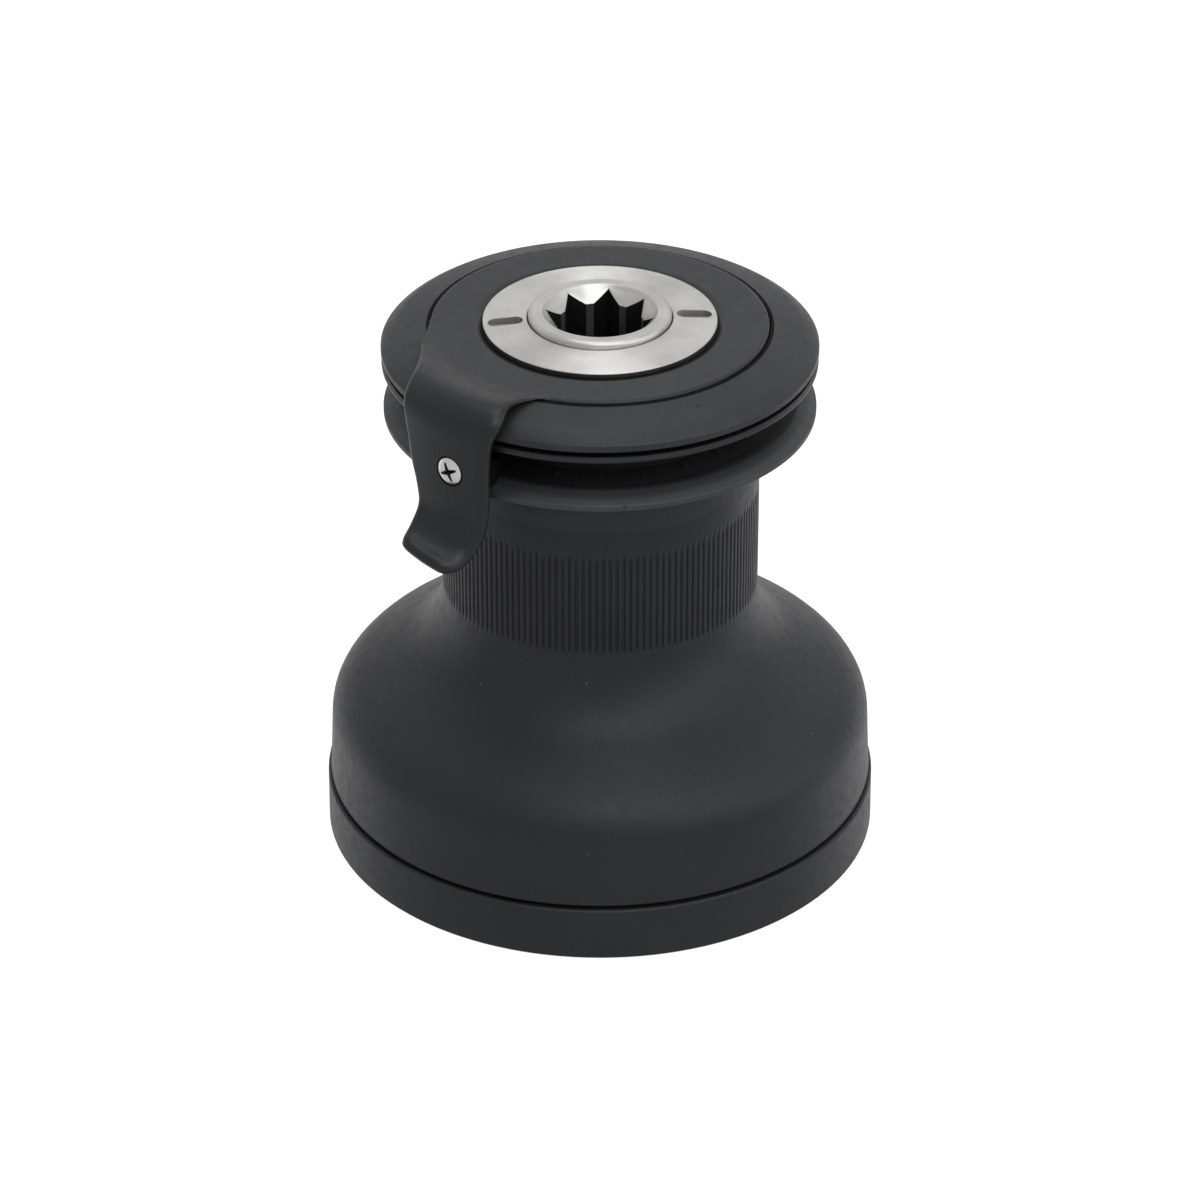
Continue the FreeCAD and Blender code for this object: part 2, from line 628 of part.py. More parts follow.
# Upper jaw: fixed on the hub's spigot.
upper = turned("upper_jaw", [
    (spigot_r + 0.02, hub_z), (34.6, hub_z), (34.6, 115.4), (lip_r - 0.45, lip_z),
    (lip_r, lip_z + 0.35), (lip_r, lip_top - 0.35), (lip_r - 0.35, lip_top), (48.3, lip_top),
    (41.5, lip_top), (40.0, 119.4), (36.0, spigot_z), (spigot_r + 0.02, spigot_z)])
add_block(upper, "grip_rib", [(35.2, -0.6), (39.6, -0.6), (39.6, 0.6), (35.2, 0.6)],
          Q.of(115.15), Q.of(2.4), RIBS)
cut_holes(upper, "crown_clear", [polar_q(crown_screw_c, 30.0) + (crown_screw_r + 0.1,)],
          spigot_z + 1, Q.of(7.0), 6)
keep(upper)

# Screws that hold the upper jaw down on the drum's hub.
cs = []
for k in range(6):
    p = polar(g("crown_screw_c"), 30.0 + 60 * k)
    s = Part.makeCylinder(g("crown_screw_r"), 13.0, p + V(0, 0, 106.0))
    s = s.fuse(Part.makeCylinder(2.7, 2.4, p + V(0, 0, g("spigot_z"))))
    hexa = [(p.x + 1.4 * math.cos(j * math.pi / 3), p.y + 1.4 * math.sin(j * math.pi / 3)) for j in range(6)]
    cs.append(s.cut(prism(hexa, 120.0, 122.0)))
keep(feature("crown_screws", Part.makeCompound(cs)))

# Crown cover: domed ring on top of the upper jaw.
keep(turned("crown_cover", [
    (48.2, lip_top), (48.2, cover_z), (cover_r - 0.25, cover_z), (cover_r, cover_z + 0.25),
    (cover_r, cover_z + 1.2), (49.25, 124.65), (48.3, 125.5), (46.5, 126.75),
    (42.5, 127.95), (cover_in + 0.4, 128.55), (cover_in, 128.2), (cover_in, 126.5),
    (42.0, 125.6), (45.2, 124.3), (45.2, lip_top)]))

# ======================= arm, finger, cap =================================
# Plate under the cap, with a recess for the cap and two flats in its bore.
plate = turned("arm_plate_part", [
    (21.7, 123.55), (30.0, 123.55), (31.5, 126.0), (plate_r, 126.0), (plate_r, plate_z - 0.4),
    (plate_r - 0.4, plate_z), (28.3, plate_z + 0.4), (26.75, 129.2), (26.75, 128.8), (21.7, 128.8)])
flat_in = Part.makeBox(6.0, 24.0, 5.25, V(g("flat_x") + 0.1, -12.0, 123.55))
flat_in2 = Part.makeBox(6.0, 24.0, 5.25, V(-g("flat_x") - 6.1, -12.0, 123.55))
# The arm itself: a radial section turned round the axis, trimmed to its outline.
F, T = g("arm_face"), g("arm_t")
CR, CZ = g("lip_cr"), g("lip_cz")
RO, RI = CR - F, CR - F + T


def arc3(a, b, c):
    return Part.Arc(V(*a), V(*b), V(*c)).toShape()


def xz(r, z):
    return (r, 0.0, z)


def seg(a, b):
    return Part.LineSegment(V(*a), V(*b)).toShape()


BR = 7.5
s45 = math.sqrt(0.5)
topz = 131.3
tip_in, tip_out = xz(CR, CZ - RO), xz(CR, CZ - RI)
edges = [
    seg(xz(35.0, plate_z.v - 0.2), xz(39.0, plate_z.v + 0.15)),
    seg(xz(39.0, plate_z.v + 0.15), xz(F - BR, topz)),
    arc3(xz(F - BR, topz), xz(F - BR + BR * s45, topz - BR + BR * s45), xz(F, topz - BR)),
    seg(xz(F, topz - BR), xz(F, CZ)),
    arc3(xz(F, CZ), xz(CR - RO * s45, CZ - RO * s45), tip_in),
    arc3(tip_in, xz(CR + T / 2, CZ - (RO + RI) / 2), tip_out),
    arc3(tip_out, xz(CR - RI * s45, CZ - RI * s45), xz(F - T, CZ)),
    seg(xz(F - T, CZ), xz(F - T, 124.4)),
    arc3(xz(F - T, 124.4), xz(F - T - 4.4 + 4.4 * s45, 124.4 + 4.4 * s45), xz(F - T - 4.4, 128.8)),
    seg(xz(F - T - 4.4, 128.8), xz(35.0, 128.8)),
    seg(xz(35.0, 128.8), xz(35.0, plate_z.v - 0.2)),
]
arm_wire = Part.Wire(edges)
arm_turn = Part.Face(arm_wire).revolve(V(0, 0, 0), V(0, 0, 1), 360)
# Plan outline: tangent to the plate on the left, filleted into it on the right.
AZ = g("arm_az")
pl = []
for a in range(173, 253 + 1, 8):
    pl.append(tuple(polar(36.0, a))[:2])
ctr = [(-11.0, -36.0), (-14.2, -36.2), (-17.2, -37.2), (-19.6, -39.4), (-21.2, -42.2), (-22.3, -45.0)]
lft = [(-43.6, -39.5), (-42.4, -34.5), (-41.3, -27.5), (-40.2, -20.0), (-39.3, -9.0), (-37.74, 4.6)]
outer = [tuple(polar(68.0, a))[:2] for a in (-116.6, -122.0, -128.0, -133.0, -138.6)]
plan = prism(pl + ctr + outer + lft, 88.0, 134.0)
# Outline seen along the arm: upright sides, round lower corners.
half = 16.0
low = [(-half, 140.0), (half, 140.0), (half, 104.0)]
# right-hand corner (towards +) of the lip is cut higher than the left
low += [(half, 92.0), (6.0, 88.0), (-2.0, 90.0), (-8.0, 93.5), (-11.5, 97.5), (-half, 103.0)]
w = Part.makePolygon([V(30.0, -y, z) for y, z in low] + [V(30.0, -low[0][0], low[0][1])])
front = Part.Face(w).extrude(V(50, 0, 0))
front.rotate(V(0, 0, 0), V(0, 0, 1), AZ)
arm_body = arm_turn.common(plan).common(front)
doc.recompute()
screw_dir = polar(1.0, g("screw_az"))
screw_p = screw_dir * g("arm_face") + V(0, 0, g("screw_z"))
csk = Part.makeCone(3.5, 1.9, 1.9, screw_p, screw_dir * -1)
thru = Part.makeCylinder(1.9, 8.0, screw_p + screw_dir * 1.0, screw_dir * -1)
lead = Part.makeCylinder(3.5, 1.0, screw_p + screw_dir, screw_dir * -1)
arm_shape = plate.Shape.fuse([flat_in, flat_in2]).removeSplitter()
arm_shape = arm_shape.cut(Part.makeCylinder(28.0, 3.0, V(0, 0, 128.8)).cut(
    Part.makeCylinder(28.4, 3.0, V(0, 0, 128.8))))
arm_shape = arm_shape.fuse(arm_body).cut([csk, thru, lead])
keep(feature("stripper_arm", arm_shape))
doc.removeObject("arm_plate_part_turn")
doc.removeObject("arm_plate_part_outline")
doc.removeObject("arm_plate_part")

# Finger between the jaws, screwed to the arm's inner face.
FI = F - T
fp = [(35.6, 111.75), (44.0, 111.75), (46.2, 110.75), (FI, 110.6), (FI, 118.2), (46.0, 116.6),
      (41.5, 114.65), (35.6, 114.4)]
fw = Part.makePolygon([V(r, -8.0, z) for r, z in fp] + [V(fp[0][0], -8.0, fp[0][1])])
fing = Part.Face(fw).extrude(V(0, 16.0, 0))
trim = prism([(34.0, -2.4), (35.8, -3.0), (46.0, -6.6), (55.0, -7.2), (55.0, 7.2), (46.0, 6.6), (35.8, 3.0), (34.0, 2.4)],
             105.0, 122.0)
fing = fing.common(trim)
fing.rotate(V(0, 0, 0), V(0, 0, 1), g("screw_az"))
fing = fing.common(Part.makeCylinder(FI - 0.02, 20.0, V(0, 0, 105.0)))
fing = fing.cut(Part.makeCylinder(1.75, 12.0, screw_dir * 46.6 + V(0, 0, g("screw_z")), screw_dir))
keep(feature("stripper_finger", fing))

# Countersunk cross-recess screw.
sc_head = Part.makeCone(3.4, 1.8, 1.85, screw_p - screw_dir * 0.05, screw_dir * -1)
sc_shaft = Part.makeCylinder(1.75, F - 1.0 - 46.8, screw_dir * 46.8 + V(0, 0, g("screw_z")), screw_dir)
sc_s = sc_head.fuse(sc_shaft)
cr1 = Part.makeBox(3.0, 0.8, 3.6, V(-1.5, -0.4, -1.8))
cr2 = Part.makeBox(3.0, 3.6, 0.8, V(-1.5, -1.8, -0.4))
cross = cr1.fuse(cr2)
cross.rotate(V(0, 0, 0), V(1, 0, 0), 20)
cross.rotate(V(0, 0, 0), V(0, 0, 1), g("screw_az"))
cross.translate(screw_p)
keep(feature("stripper_screw", sc_s.cut(cross)))

# Retaining cap: threads into the stem and clamps the plate.
cap = turned("retaining_cap", [
    (cap_bore, 120.2), (cap_thread, 120.2), (cap_thread, 128.8), (cap_r, 128.8),
    (cap_r, cap_z - 0.25), (cap_r - 0.25, cap_z), (cap_bore + 0.2, cap_mid), (cap_bore, cap_mid - 0.2)])
sl0, sl1 = 17.3, 25.3
hw = slot_w / 2


def slot_pts(turn):
    t = g("slot_az") + turn
    r0, r1 = sl0 + hw.v, sl1 - hw.v
    ex = "(dims.slot_az + %s)" % turn

    def pt(r, s):
        a = math.radians(t)
        return (Q(r * math.cos(a) - s * hw.v * math.sin(a),
                  "(%s * cos(%s * 1 deg) - %s * dims.slot_w / 2 * sin(%s * 1 deg))" % (r, ex, s, ex)),
                Q(r * math.sin(a) + s * hw.v * math.cos(a),
                  "(%s * sin(%s * 1 deg) + %s * dims.slot_w / 2 * cos(%s * 1 deg))" % (r, ex, s, ex)))
    a, b, c, d = pt(r0, -1), pt(r1, -1), pt(r1, 1), pt(r0, 1)
    return [a, (b[0], b[1], hw, 1), c, (d[0], d[1], hw, 1)]


cut_block(cap, "slot", slot_pts(0.0), cap_mid + 1, Q.of(3.0), 2)
keep(cap)

# ======================= spindle and its gears ============================
foot_r = dim("foot_r", 8.0, "spindle foot radius")
seat_r = dim("seat_r", 11.0, "seat of the second-speed drive gear")
flange_r = dim("flange_r", 16.0, "flange under the first-speed gear")
spin = turned("spindle_blank", [
    (0, 1.6), (foot_r, 1.6), (foot_r, 10.1), (seat_r, 10.1), (seat_r, 24.3), (flange_r, 24.3),
    (flange_r, 26.8), (sp_r, 26.8), (sp_r, 128.95), (sp_ring, 128.95), (sp_ring, sp_top - 1.1, 1.1, 1),
    (sp_ring - 1.1, sp_top), (13.1, sp_top), (12.75, sp_top - 0.35), (9.7, sp_top - 3.4), (0, sp_top - 3.4)])
doc.recompute()
sh = spin.Shape
a0 = g("star_az")
hs = g("star_af") / 2.0
star = None
for t in (a0, a0 + 45.0):
    b = Part.makeBox(2 * hs, 2 * hs, g("sp_top") - g("socket_z"), V(-hs, -hs, g("socket_z")))
    b.rotate(V(0, 0, 0), V(0, 0, 1), t - 45.0)
    star = b if star is None else star.fuse(b)
star = star.fuse(Part.makeCylinder(g("star_land"), g("sp_top") - g("socket_z"), V(0, 0, g("socket_z"))))
sh = sh.cut(star)

# Pawl shape, in the plane of the ratchet: round heel on its pivot, nose outwards.
def pawl_outline(piv, tip, heel, back):
    """Nose polygon from the heel to the tip; piv and tip are (x, y)."""
    dx, dy = tip[0] - piv[0], tip[1] - piv[1]
    ln = math.hypot(dx, dy)
    ux, uy = dx / ln, dy / ln
    nx, ny = uy, -ux   # outward side
    return [(piv[0] + nx * heel * 0.9, piv[1] + ny * heel * 0.9),
            (tip[0] - ux * 0.3 + nx * 0.15, tip[1] - uy * 0.3 + ny * 0.15),
            (tip[0], tip[1]),
            (tip[0] - nx * back, tip[1] - ny * back),
            (piv[0] - nx * heel * 0.9, piv[1] - ny * heel * 0.9)]


def pawl_solid(piv, tip, heel, back, z0, z1):
    s = prism(pawl_outline(piv, tip, heel, back), z0, z1)
    return s.fuse(Part.makeCylinder(heel, z1 - z0, V(piv[0], piv[1], z0))).removeSplitter()


pawl_z0, pawl_z1 = g("up_z0") + 0.3, g("up_z1") - 0.3
# Spindle pawls: pivot on radius 11.4, tip in a ratchet notch at radius 15.2.
PIV1, TIP1 = (11.5, 0.0), (14.95 * math.cos(math.radians(29)), 14.95 * math.sin(math.radians(29)))
PIV2, TIP2 = (8.3, 0.0), (10.75 * math.cos(math.radians(35)), 10.75 * math.sin(math.radians(35)))
SW1, SW2 = 16.0, 9.0


def pocket_poly(piv, tip, heel, back, swing, gap, r_out):
    """Outline of the pocket: heel seat, floor under the folded pawl, end wall past the tip."""
    a = math.radians(swing)
    ca, sa = math.cos(a), math.sin(a)

    def rot(p, s=1.0):
        x, y = p[0] - piv[0], p[1] - piv[1]
        return (piv[0] + x * ca - s * y * sa, piv[1] + s * x * sa + y * ca)
    o = pawl_outline(piv, tip, heel, back)
    fold = [rot(p) for p in o]
    dx, dy = tip[0] - piv[0], tip[1] - piv[1]
    ln = math.hypot(dx, dy)
    ux, uy = dx / ln, dy / ln
    # folded tip corner, pushed on by the gap
    fx, fy = fold[3]
    vx, vy = fold[3][0] - fold[4][0], fold[3][1] - fold[4][1]
    vl = math.hypot(vx, vy)
    vx, vy = vx / vl, vy / vl
    wx, wy = -vy, vx   # inwards
    if wx * fx + wy * fy > 0:
        wx, wy = -wx, -wy
    p1 = (fold[4][0] + wx * gap, fold[4][1] + wy * gap)
    p2 = (fx + wx * gap + vx * gap, fy + wy * gap + vy * gap)
    ang = math.atan2(tip[1], tip[0]) + 0.09
    rad = math.hypot(p2[0], p2[1])
    ang2 = max(math.atan2(p2[1], p2[0]), ang)
    p3 = (rad * math.cos(ang2), rad * math.sin(ang2))
    p4 = (r_out * math.cos(ang2), r_out * math.sin(ang2))
    mid = math.atan2(piv[1] + heel * 0.2, piv[0])
    p5 = (r_out * math.cos(ang2 / 2), r_out * math.sin(ang2 / 2))
    p6 = (r_out * math.cos(mid), r_out * math.sin(mid))
    return [p1, p2, p3, p4, p5, p6]


HEEL1, BACK1 = 1.7, 2.4
HEEL2, BACK2 = 1.5, 2.0
for turn in (0.0, 180.0):
    pk = prism(pocket_poly(PIV1, TIP1, HEEL1, BACK1, SW1, 0.45, 17.0), g("up_z0") - 0.05, g("up_z1") + 0.2)
    pk = pk.fuse(Part.makeCylinder(HEEL1 + 0.06, g("up_z1") - g("up_z0") + 0.25, V(PIV1[0], PIV1[1], g("up_z0") - 0.05)))
    pk = pk.mirror(V(0, 0, 0), V(0, 1, 0))
    pk.rotate(V(0, 0, 0), V(0, 0, 1), turn)
    sh = sh.cut(pk)
# Groove and clip under the second-speed drive gear.
clip_groove = Part.makeCylinder(12.0, 1.1, V(0, 0, 12.35)).cut(Part.makeCylinder(10.2, 1.1, V(0, 0, 12.35)))
sh = sh.cut(clip_groove)
clip = Part.makeCylinder(13.2, 0.9, V(0, 0, 12.45)).cut(Part.makeCylinder(10.25, 0.9, V(0, 0, 12.45)))
clip = clip.cut(prism([(0.0, -1.2), (16.0, -2.2), (16.0, 2.2), (0.0, 1.2)], 12.0, 14.0))
keep(feature("gear_clip", clip))
# Keyway for the second-speed drive gear.
keyw = Part.makeBox(3.0, 4.0, 11.0, V(9.4, -2.0, 13.4))
sh = sh.cut(keyw)
spindle = keep(feature("spindle", sh))
for n in ("spindle_blank_turn", "spindle_blank_outline", "spindle_blank"):
    doc.removeObject(n)

# Second-speed drive gear and its key.
s2 = prism(tooth_outline(N_SUN, PH_S2, HA, HF, TH), g("low_z0"), g("low_z1"))
s2 = s2.cut(Part.makeCylinder(g("seat_r") + 0.02, 14.0, V(0, 0, 12.0)))
s2 = s2.cut(Part.makeBox(4.0, 4.04, 14.0, V(9.4, -2.02, 12.0)))
keep(feature("second_drive_gear", s2))
keep(feature("drive_key", Part.makeBox(3.7, 3.98, 10.3, V(9.42, -1.99, 13.7))))

# First-speed gear with its inner ratchet. The steep faces look at the pawl noses.
N_RAT = 10
CREST1, DEPTH1 = 14.15, 15.75
face = []
for f in (-12.0, 14.0):
    # The face follows the nose's own path round its pivot, a little ahead of it.
    fx, fy = TIP1[0] - PIV1[0], TIP1[1] - PIV1[1]
    c, n = math.cos(math.radians(f)), math.sin(math.radians(f))
    k = 1.0 + 0.14 / math.hypot(fx, fy)
    x, y = PIV1[0] + k * (fx * c - fy * n), PIV1[1] + k * (fx * n + fy * c)
    face.append((math.hypot(x, y), math.atan2(y, x)))


def face_angle(r):
    (r0, a0_), (r1, a1_) = face
    return a0_ + (a1_ - a0_) * (r - r0) / (r1 - r0)


rat1 = mirrored(ratchet_outline(CREST1, DEPTH1, N_RAT, face_angle(DEPTH1),
                                face_angle(CREST1) - face_angle(DEPTH1)))
s1 = prism(tooth_outline(N_SUN, PH_S1, HA, HF, TH), g("up_z0"), g("up_z1"))
s1 = s1.cut(prism(rat1, g("up_z0") - 1, g("up_z1") + 1))
keep(feature("first_speed_gear", s1))

for name, turn in (("spindle_pawl_a", 0.0), ("spindle_pawl_b", 180.0)):
    s = pawl_solid(PIV1, TIP1, HEEL1, BACK1, pawl_z0, pawl_z1).mirror(V(0, 0, 0), V(0, 1, 0))
    s.rotate(V(0, 0, 0), V(0, 0, 1), turn)
    keep(feature(name, s))

# Idler and first-speed pinion.
for name, c, ph in (("idler_gear", A0, PH_A), ("first_pinion", B0, PH_B)):
    s = prism(tooth_outline(N_PIN, ph, HA, HF, TH), g("up_z0"), g("up_z1"))
    s = s.cut(Part.makeCylinder(g("pin_r") + g("pin_gap"), 12.0, V(0, 0, g("up_z0") - 1)))
    s.translate(V(c[0], c[1], 0))
    keep(feature(name, s))

# Second-speed gear, with an inner ratchet, and the pinion that it drives.
rat2 = ratchet_outline(11.05, 12.4, N_RAT, 0.0, math.radians(3.0))
cgear = prism(tooth_outline(N_C, PH_C, HA, HF, TH), g("low_z0"), g("low_z1"))
cgear = cgear.cut(prism(rat2, g("low_z0") - 1, g("low_z1") + 1))
cgear.translate(V(P0[0], P0[1], 0))
keep(feature("second_speed_gear", cgear))

pp = prism(tooth_outline(N_PIN, PH_P, HA, HF, TH), 26.4, g("up_z1"))
pp = pp.fuse(Part.makeCylinder(13.0, 2.1, V(0, 0, 24.3)))
pp = pp.fuse(Part.makeCylinder(10.8, 24.3 - 13.7, V(0, 0, 13.7)))
pp = pp.cut(Part.makeCylinder(g("pin_r") + g("pin_gap"), 30.0, V(0, 0, 10)))
for turn in (0.0, 180.0):
    pk = prism(pocket_poly(PIV2, TIP2, HEEL2, BACK2, SW2, 0.3, 13.0), 13.0, 24.3)
    pk = pk.fuse(Part.makeCylinder(HEEL2 + 0.06, 11.3, V(PIV2[0], PIV2[1], 13.0)))
    pk.rotate(V(0, 0, 0), V(0, 0, 1), turn)
    pp = pp.cut(pk)
pp.translate(V(P0[0], P0[1], 0))
keep(feature("second_pinion", pp))
for name, turn in (("pinion_pawl_a", 0.0), ("pinion_pawl_b", 180.0)):
    s = pawl_solid(PIV2, TIP2, HEEL2, BACK2, 14.0, 24.0)
    s.rotate(V(0, 0, 0), V(0, 0, 1), turn)
    s.translate(V(P0[0], P0[1], 0))
    keep(feature(name, s))

# ======================= roller bearings ==================================
N_ROLL = 14
RC = (g("stem_r") + g("drum_bore")) / 2.0
for name, z0 in (("lower", 58.0), ("upper", 83.4)):
    cage = Part.makeCylinder(30.4, 11.0, V(0, 0, z0)).cut(Part.makeCylinder(26.5, 13.0, V(0, 0, z0 - 1)))
    rolls, wins = [], []
    for k in range(N_ROLL):
        p = polar(RC, 360.0 * k / N_ROLL)
        wins.append(Part.makeCylinder(g("roll_r") + 0.12, 9.2, p + V(0, 0, z0 + 0.9)))
        rolls.append(Part.makeCylinder(g("roll_r"), 9.0, p + V(0, 0, z0 + 1.0)))
    keep(feature(name + "_cage", cage.cut(wins)))
    keep(feature(name + "_rollers", Part.makeCompound(rolls)))

# ======================= checks and files =================================
doc.recompute()
bad = []
for o in doc.Objects:
    st = [str(x) for x in o.State]
    if "Invalid" in st or "Error" in st:
        bad.append("%s %s" % (o.Label, st))
for o in PARTS:
    s = o.Shape
    if s.isNull() or not s.isValid() or s.Volume < 1e-3 or not s.Solids:
        bad.append("%s shape null, invalid or empty" % o.Label)
if bad:
    raise RuntimeError("; ".join(bad))
os.makedirs("parts", exist_ok=True)
for o in PARTS:
    s = o.Shape
    print("%-20s solids %2d faces %4d volume %.1f" % (o.Label, len(s.Solids), len(s.Faces), s.Volume))
    s.exportStep("parts/%s.step" % o.Label)
print(len(PARTS), "nodes")
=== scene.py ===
import bpy
import bmesh
import math
from mathutils import Vector, Matrix


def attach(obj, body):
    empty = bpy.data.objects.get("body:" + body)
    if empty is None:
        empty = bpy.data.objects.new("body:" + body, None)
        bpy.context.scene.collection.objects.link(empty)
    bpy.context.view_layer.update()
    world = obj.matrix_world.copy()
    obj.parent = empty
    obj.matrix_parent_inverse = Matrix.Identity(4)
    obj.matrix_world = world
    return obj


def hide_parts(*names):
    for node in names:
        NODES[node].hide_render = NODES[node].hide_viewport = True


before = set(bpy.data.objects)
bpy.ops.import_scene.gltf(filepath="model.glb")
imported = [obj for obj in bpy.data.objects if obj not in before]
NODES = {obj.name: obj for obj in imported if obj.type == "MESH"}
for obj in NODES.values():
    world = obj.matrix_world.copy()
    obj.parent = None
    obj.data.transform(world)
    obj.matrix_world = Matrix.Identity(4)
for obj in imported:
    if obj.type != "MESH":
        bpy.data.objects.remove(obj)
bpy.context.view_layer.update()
scene = bpy.context.scene
MM = 0.001
PI = math.pi


# ------------------------------------------------------------------ meshes
def new_object(name, verts, faces, smooth=True, sharp=32.0):
    me = bpy.data.meshes.new(name)
    me.from_pydata([(x * MM, y * MM, z * MM) for x, y, z in verts], [], faces)
    me.validate()
    me.update()
    o = bpy.data.objects.new(name, me)
    scene.collection.objects.link(o)
    if smooth:
        finish_normals(o, sharp)
    return o


def finish_normals(o, sharp=32.0):
    me = o.data
    for p in me.polygons:
        p.use_smooth = True
    me.set_sharp_from_angle(angle=math.radians(sharp))


def recalc(o):
    bm = bmesh.new()
    bm.from_mesh(o.data)
    bmesh.ops.recalc_face_normals(bm, faces=bm.faces)
    bm.to_mesh(o.data)
    bm.free()


def rounded(points, steps=5):
    """A (r, z) outline whose entries may carry a third number, the rounding at that corner."""
    n = len(points)
    out = []
    for i, p in enumerate(points):
        rad = p[2] if len(p) > 2 else 0.0
        if rad <= 0.0:
            out.append((p[0], p[1]))
            continue
        a = Vector(points[i - 1][:2])
        b = Vector(p[:2])
        c = Vector(points[(i + 1) % n][:2])
        u = (a - b).normalized()
        w = (c - b).normalized()
        half = math.acos(max(-1.0, min(1.0, u.dot(w)))) / 2.0
        cut = rad / math.tan(half)
        cut = min(cut, 0.49 * (a - b).length, 0.49 * (c - b).length)
        rad = cut * math.tan(half)
        centre = b + (u + w).normalized() * (rad / math.sin(half))
        p0, p1 = b + u * cut, b + w * cut
        a0 = math.atan2(p0.y - centre.y, p0.x - centre.x)
        a1 = math.atan2(p1.y - centre.y, p1.x - centre.x)
        while a1 - a0 > PI:
            a1 -= 2 * PI
        while a1 - a0 < -PI:
            a1 += 2 * PI
        for k in range(steps + 1):
            t = a0 + (a1 - a0) * k / steps
            out.append((centre.x + rad * math.cos(t), centre.y + rad * math.sin(t)))
    return out


def smoothstep(a, b, x):
    t = max(0.0, min(1.0, (x - a) / (b - a)))
    return t * t * (3 - 2 * t)


def arc_pts(cx, cz, r, a0, a1, steps):
    """Points of an arc in the (r, z) plane, angles in degrees."""
    return [(cx + r * math.cos(math.radians(a0 + (a1 - a0) * k / steps)),
             cz + r * math.sin(math.radians(a0 + (a1 - a0) * k / steps))) for k in range(steps + 1)]


def lathe_data(profile, segs, offset=None, angles=None):
    """A closed (r, z) outline turned round the axis."""
    n = len(profile)
    if angles is None:
        angles = [2 * PI * k / segs for k in range(segs)]
    m = len(angles)
    verts, faces = [], []
    for j, a in enumerate(angles):
        ca, sa = math.cos(a), math.sin(a)
        for i, (r, z) in enumerate(profile):
            d = offset(i, j, a, r, z) if offset else 0.0
            verts.append(((r + d) * ca, (r + d) * sa, z))
    for j in range(m):
        k = (j + 1) % m
        for i in range(n):
            i2 = (i + 1) % n
            faces.append((j * n + i, k * n + i, k * n + i2, j * n + i2))
    return verts, faces


def lathe(name, profile, segs=256, offset=None, sharp=32.0):
    v, f = lathe_data(profile, segs, offset)
    o = new_object(name, v, f, smooth=False)
    recalc(o)
    finish_normals(o, sharp)
    return o


def join_data(parts):
    verts, faces = [], []
    for v, f in parts:
        b = len(verts)
        verts += list(v)
        faces += [tuple(i + b for i in q) for q in f]
    return verts, faces


def apply_modifiers(o):
    dg = bpy.context.evaluated_depsgraph_get()
    me = bpy.data.meshes.new_from_object(o.evaluated_get(dg), depsgraph=dg)
    old = o.data
    o.modifiers.clear()
    o.data = me
    bpy.data.meshes.remove(old)


def cut(o, tool, keep_tool=False):
    m = o.modifiers.new("cut", "BOOLEAN")
    m.operation = "DIFFERENCE"
    m.solver = "EXACT"
    m.object = tool
    bpy.context.view_layer.update()
    apply_modifiers(o)
    if not keep_tool:
        bpy.data.objects.remove(tool)


def prism_object(name, outline, z0, z1):
    n = len(outline)
    verts = [(x, y, z0) for x, y in outline] + [(x, y, z1) for x, y in outline]
    faces = [tuple(range(n - 1, -1, -1)), tuple(range(n, 2 * n))]
    for i in range(n):
        j = (i + 1) % n
        faces.append((i, j, n + j, n + i))
    o = new_object(name, verts, faces, smooth=False)
    recalc(o)
    return o


# --------------------------------------------------------------- materials
def mat_new(name):
    m = bpy.data.materials.new(name)
    m.use_nodes = True
    nt = m.node_tree
    nt.nodes.clear()
    out = nt.nodes.new("ShaderNodeOutputMaterial")
    b = nt.nodes.new("ShaderNodeBsdfPrincipled")
    nt.links.new(b.outputs["BSDF"], out.inputs["Surface"])
    return m, nt, b


def coords(nt, scale=(1, 1, 1)):
    tc = nt.nodes.new("ShaderNodeTexCoord")
    mp = nt.nodes.new("ShaderNodeMapping")
    mp.inputs["Scale"].default_value = scale
    nt.links.new(tc.outputs["Object"], mp.inputs["Vector"])
    return mp.outputs["Vector"]


def noise(nt, vec, scale, detail=4.0, rough=0.55, lac=2.0):
    n = nt.nodes.new("ShaderNodeTexNoise")
    n.inputs["Scale"].default_value = scale
    n.inputs["Detail"].default_value = detail
    n.inputs["Roughness"].default_value = rough
    n.inputs["Lacunarity"].default_value = lac
    nt.links.new(vec, n.inputs["Vector"])
    return n.outputs["Fac"]


def ramp(nt, fac, stops):
    r = nt.nodes.new("ShaderNodeValToRGB")
    e = r.color_ramp.elements
    while len(e) > 1:
        e.remove(e[-1])
    e[0].position = stops[0][0]
    e[0].color = stops[0][1]
    for p, c in stops[1:]:
        k = e.new(p)
        k.color = c
    nt.links.new(fac, r.inputs["Fac"])
    return r.outputs["Color"]


def grey(v, tint=(1.0, 1.0, 1.0)):
    return (v * tint[0], v * tint[1], v * tint[2], 1.0)


def math_node(nt, op, a, b=None, clamp=False):
    n = nt.nodes.new("ShaderNodeMath")
    n.operation = op
    n.use_clamp = clamp
    for i, x in enumerate((a, b)):
        if x is None:
            continue
        if isinstance(x, (int, float)):
            n.inputs[i].default_value = x
        else:
            nt.links.new(x, n.inputs[i])
    return n.outputs[0]


def mix_color(nt, fac, a, b, blend="MIX"):
    n = nt.nodes.new("ShaderNodeMix")
    n.data_type = "RGBA"
    n.blend_type = blend
    for sock, x in (("Factor", fac), ("A", a), ("B", b)):
        s = [i for i in n.inputs if i.name == sock and (sock == "Factor" and i.type == "VALUE" or sock != "Factor" and i.type == "RGBA")][0]
        if isinstance(x, (int, float)):
            s.default_value = x
        elif isinstance(x, tuple):
            s.default_value = x
        else:
            nt.links.new(x, s)
    return [s for s in n.outputs if s.type == "RGBA"][0]


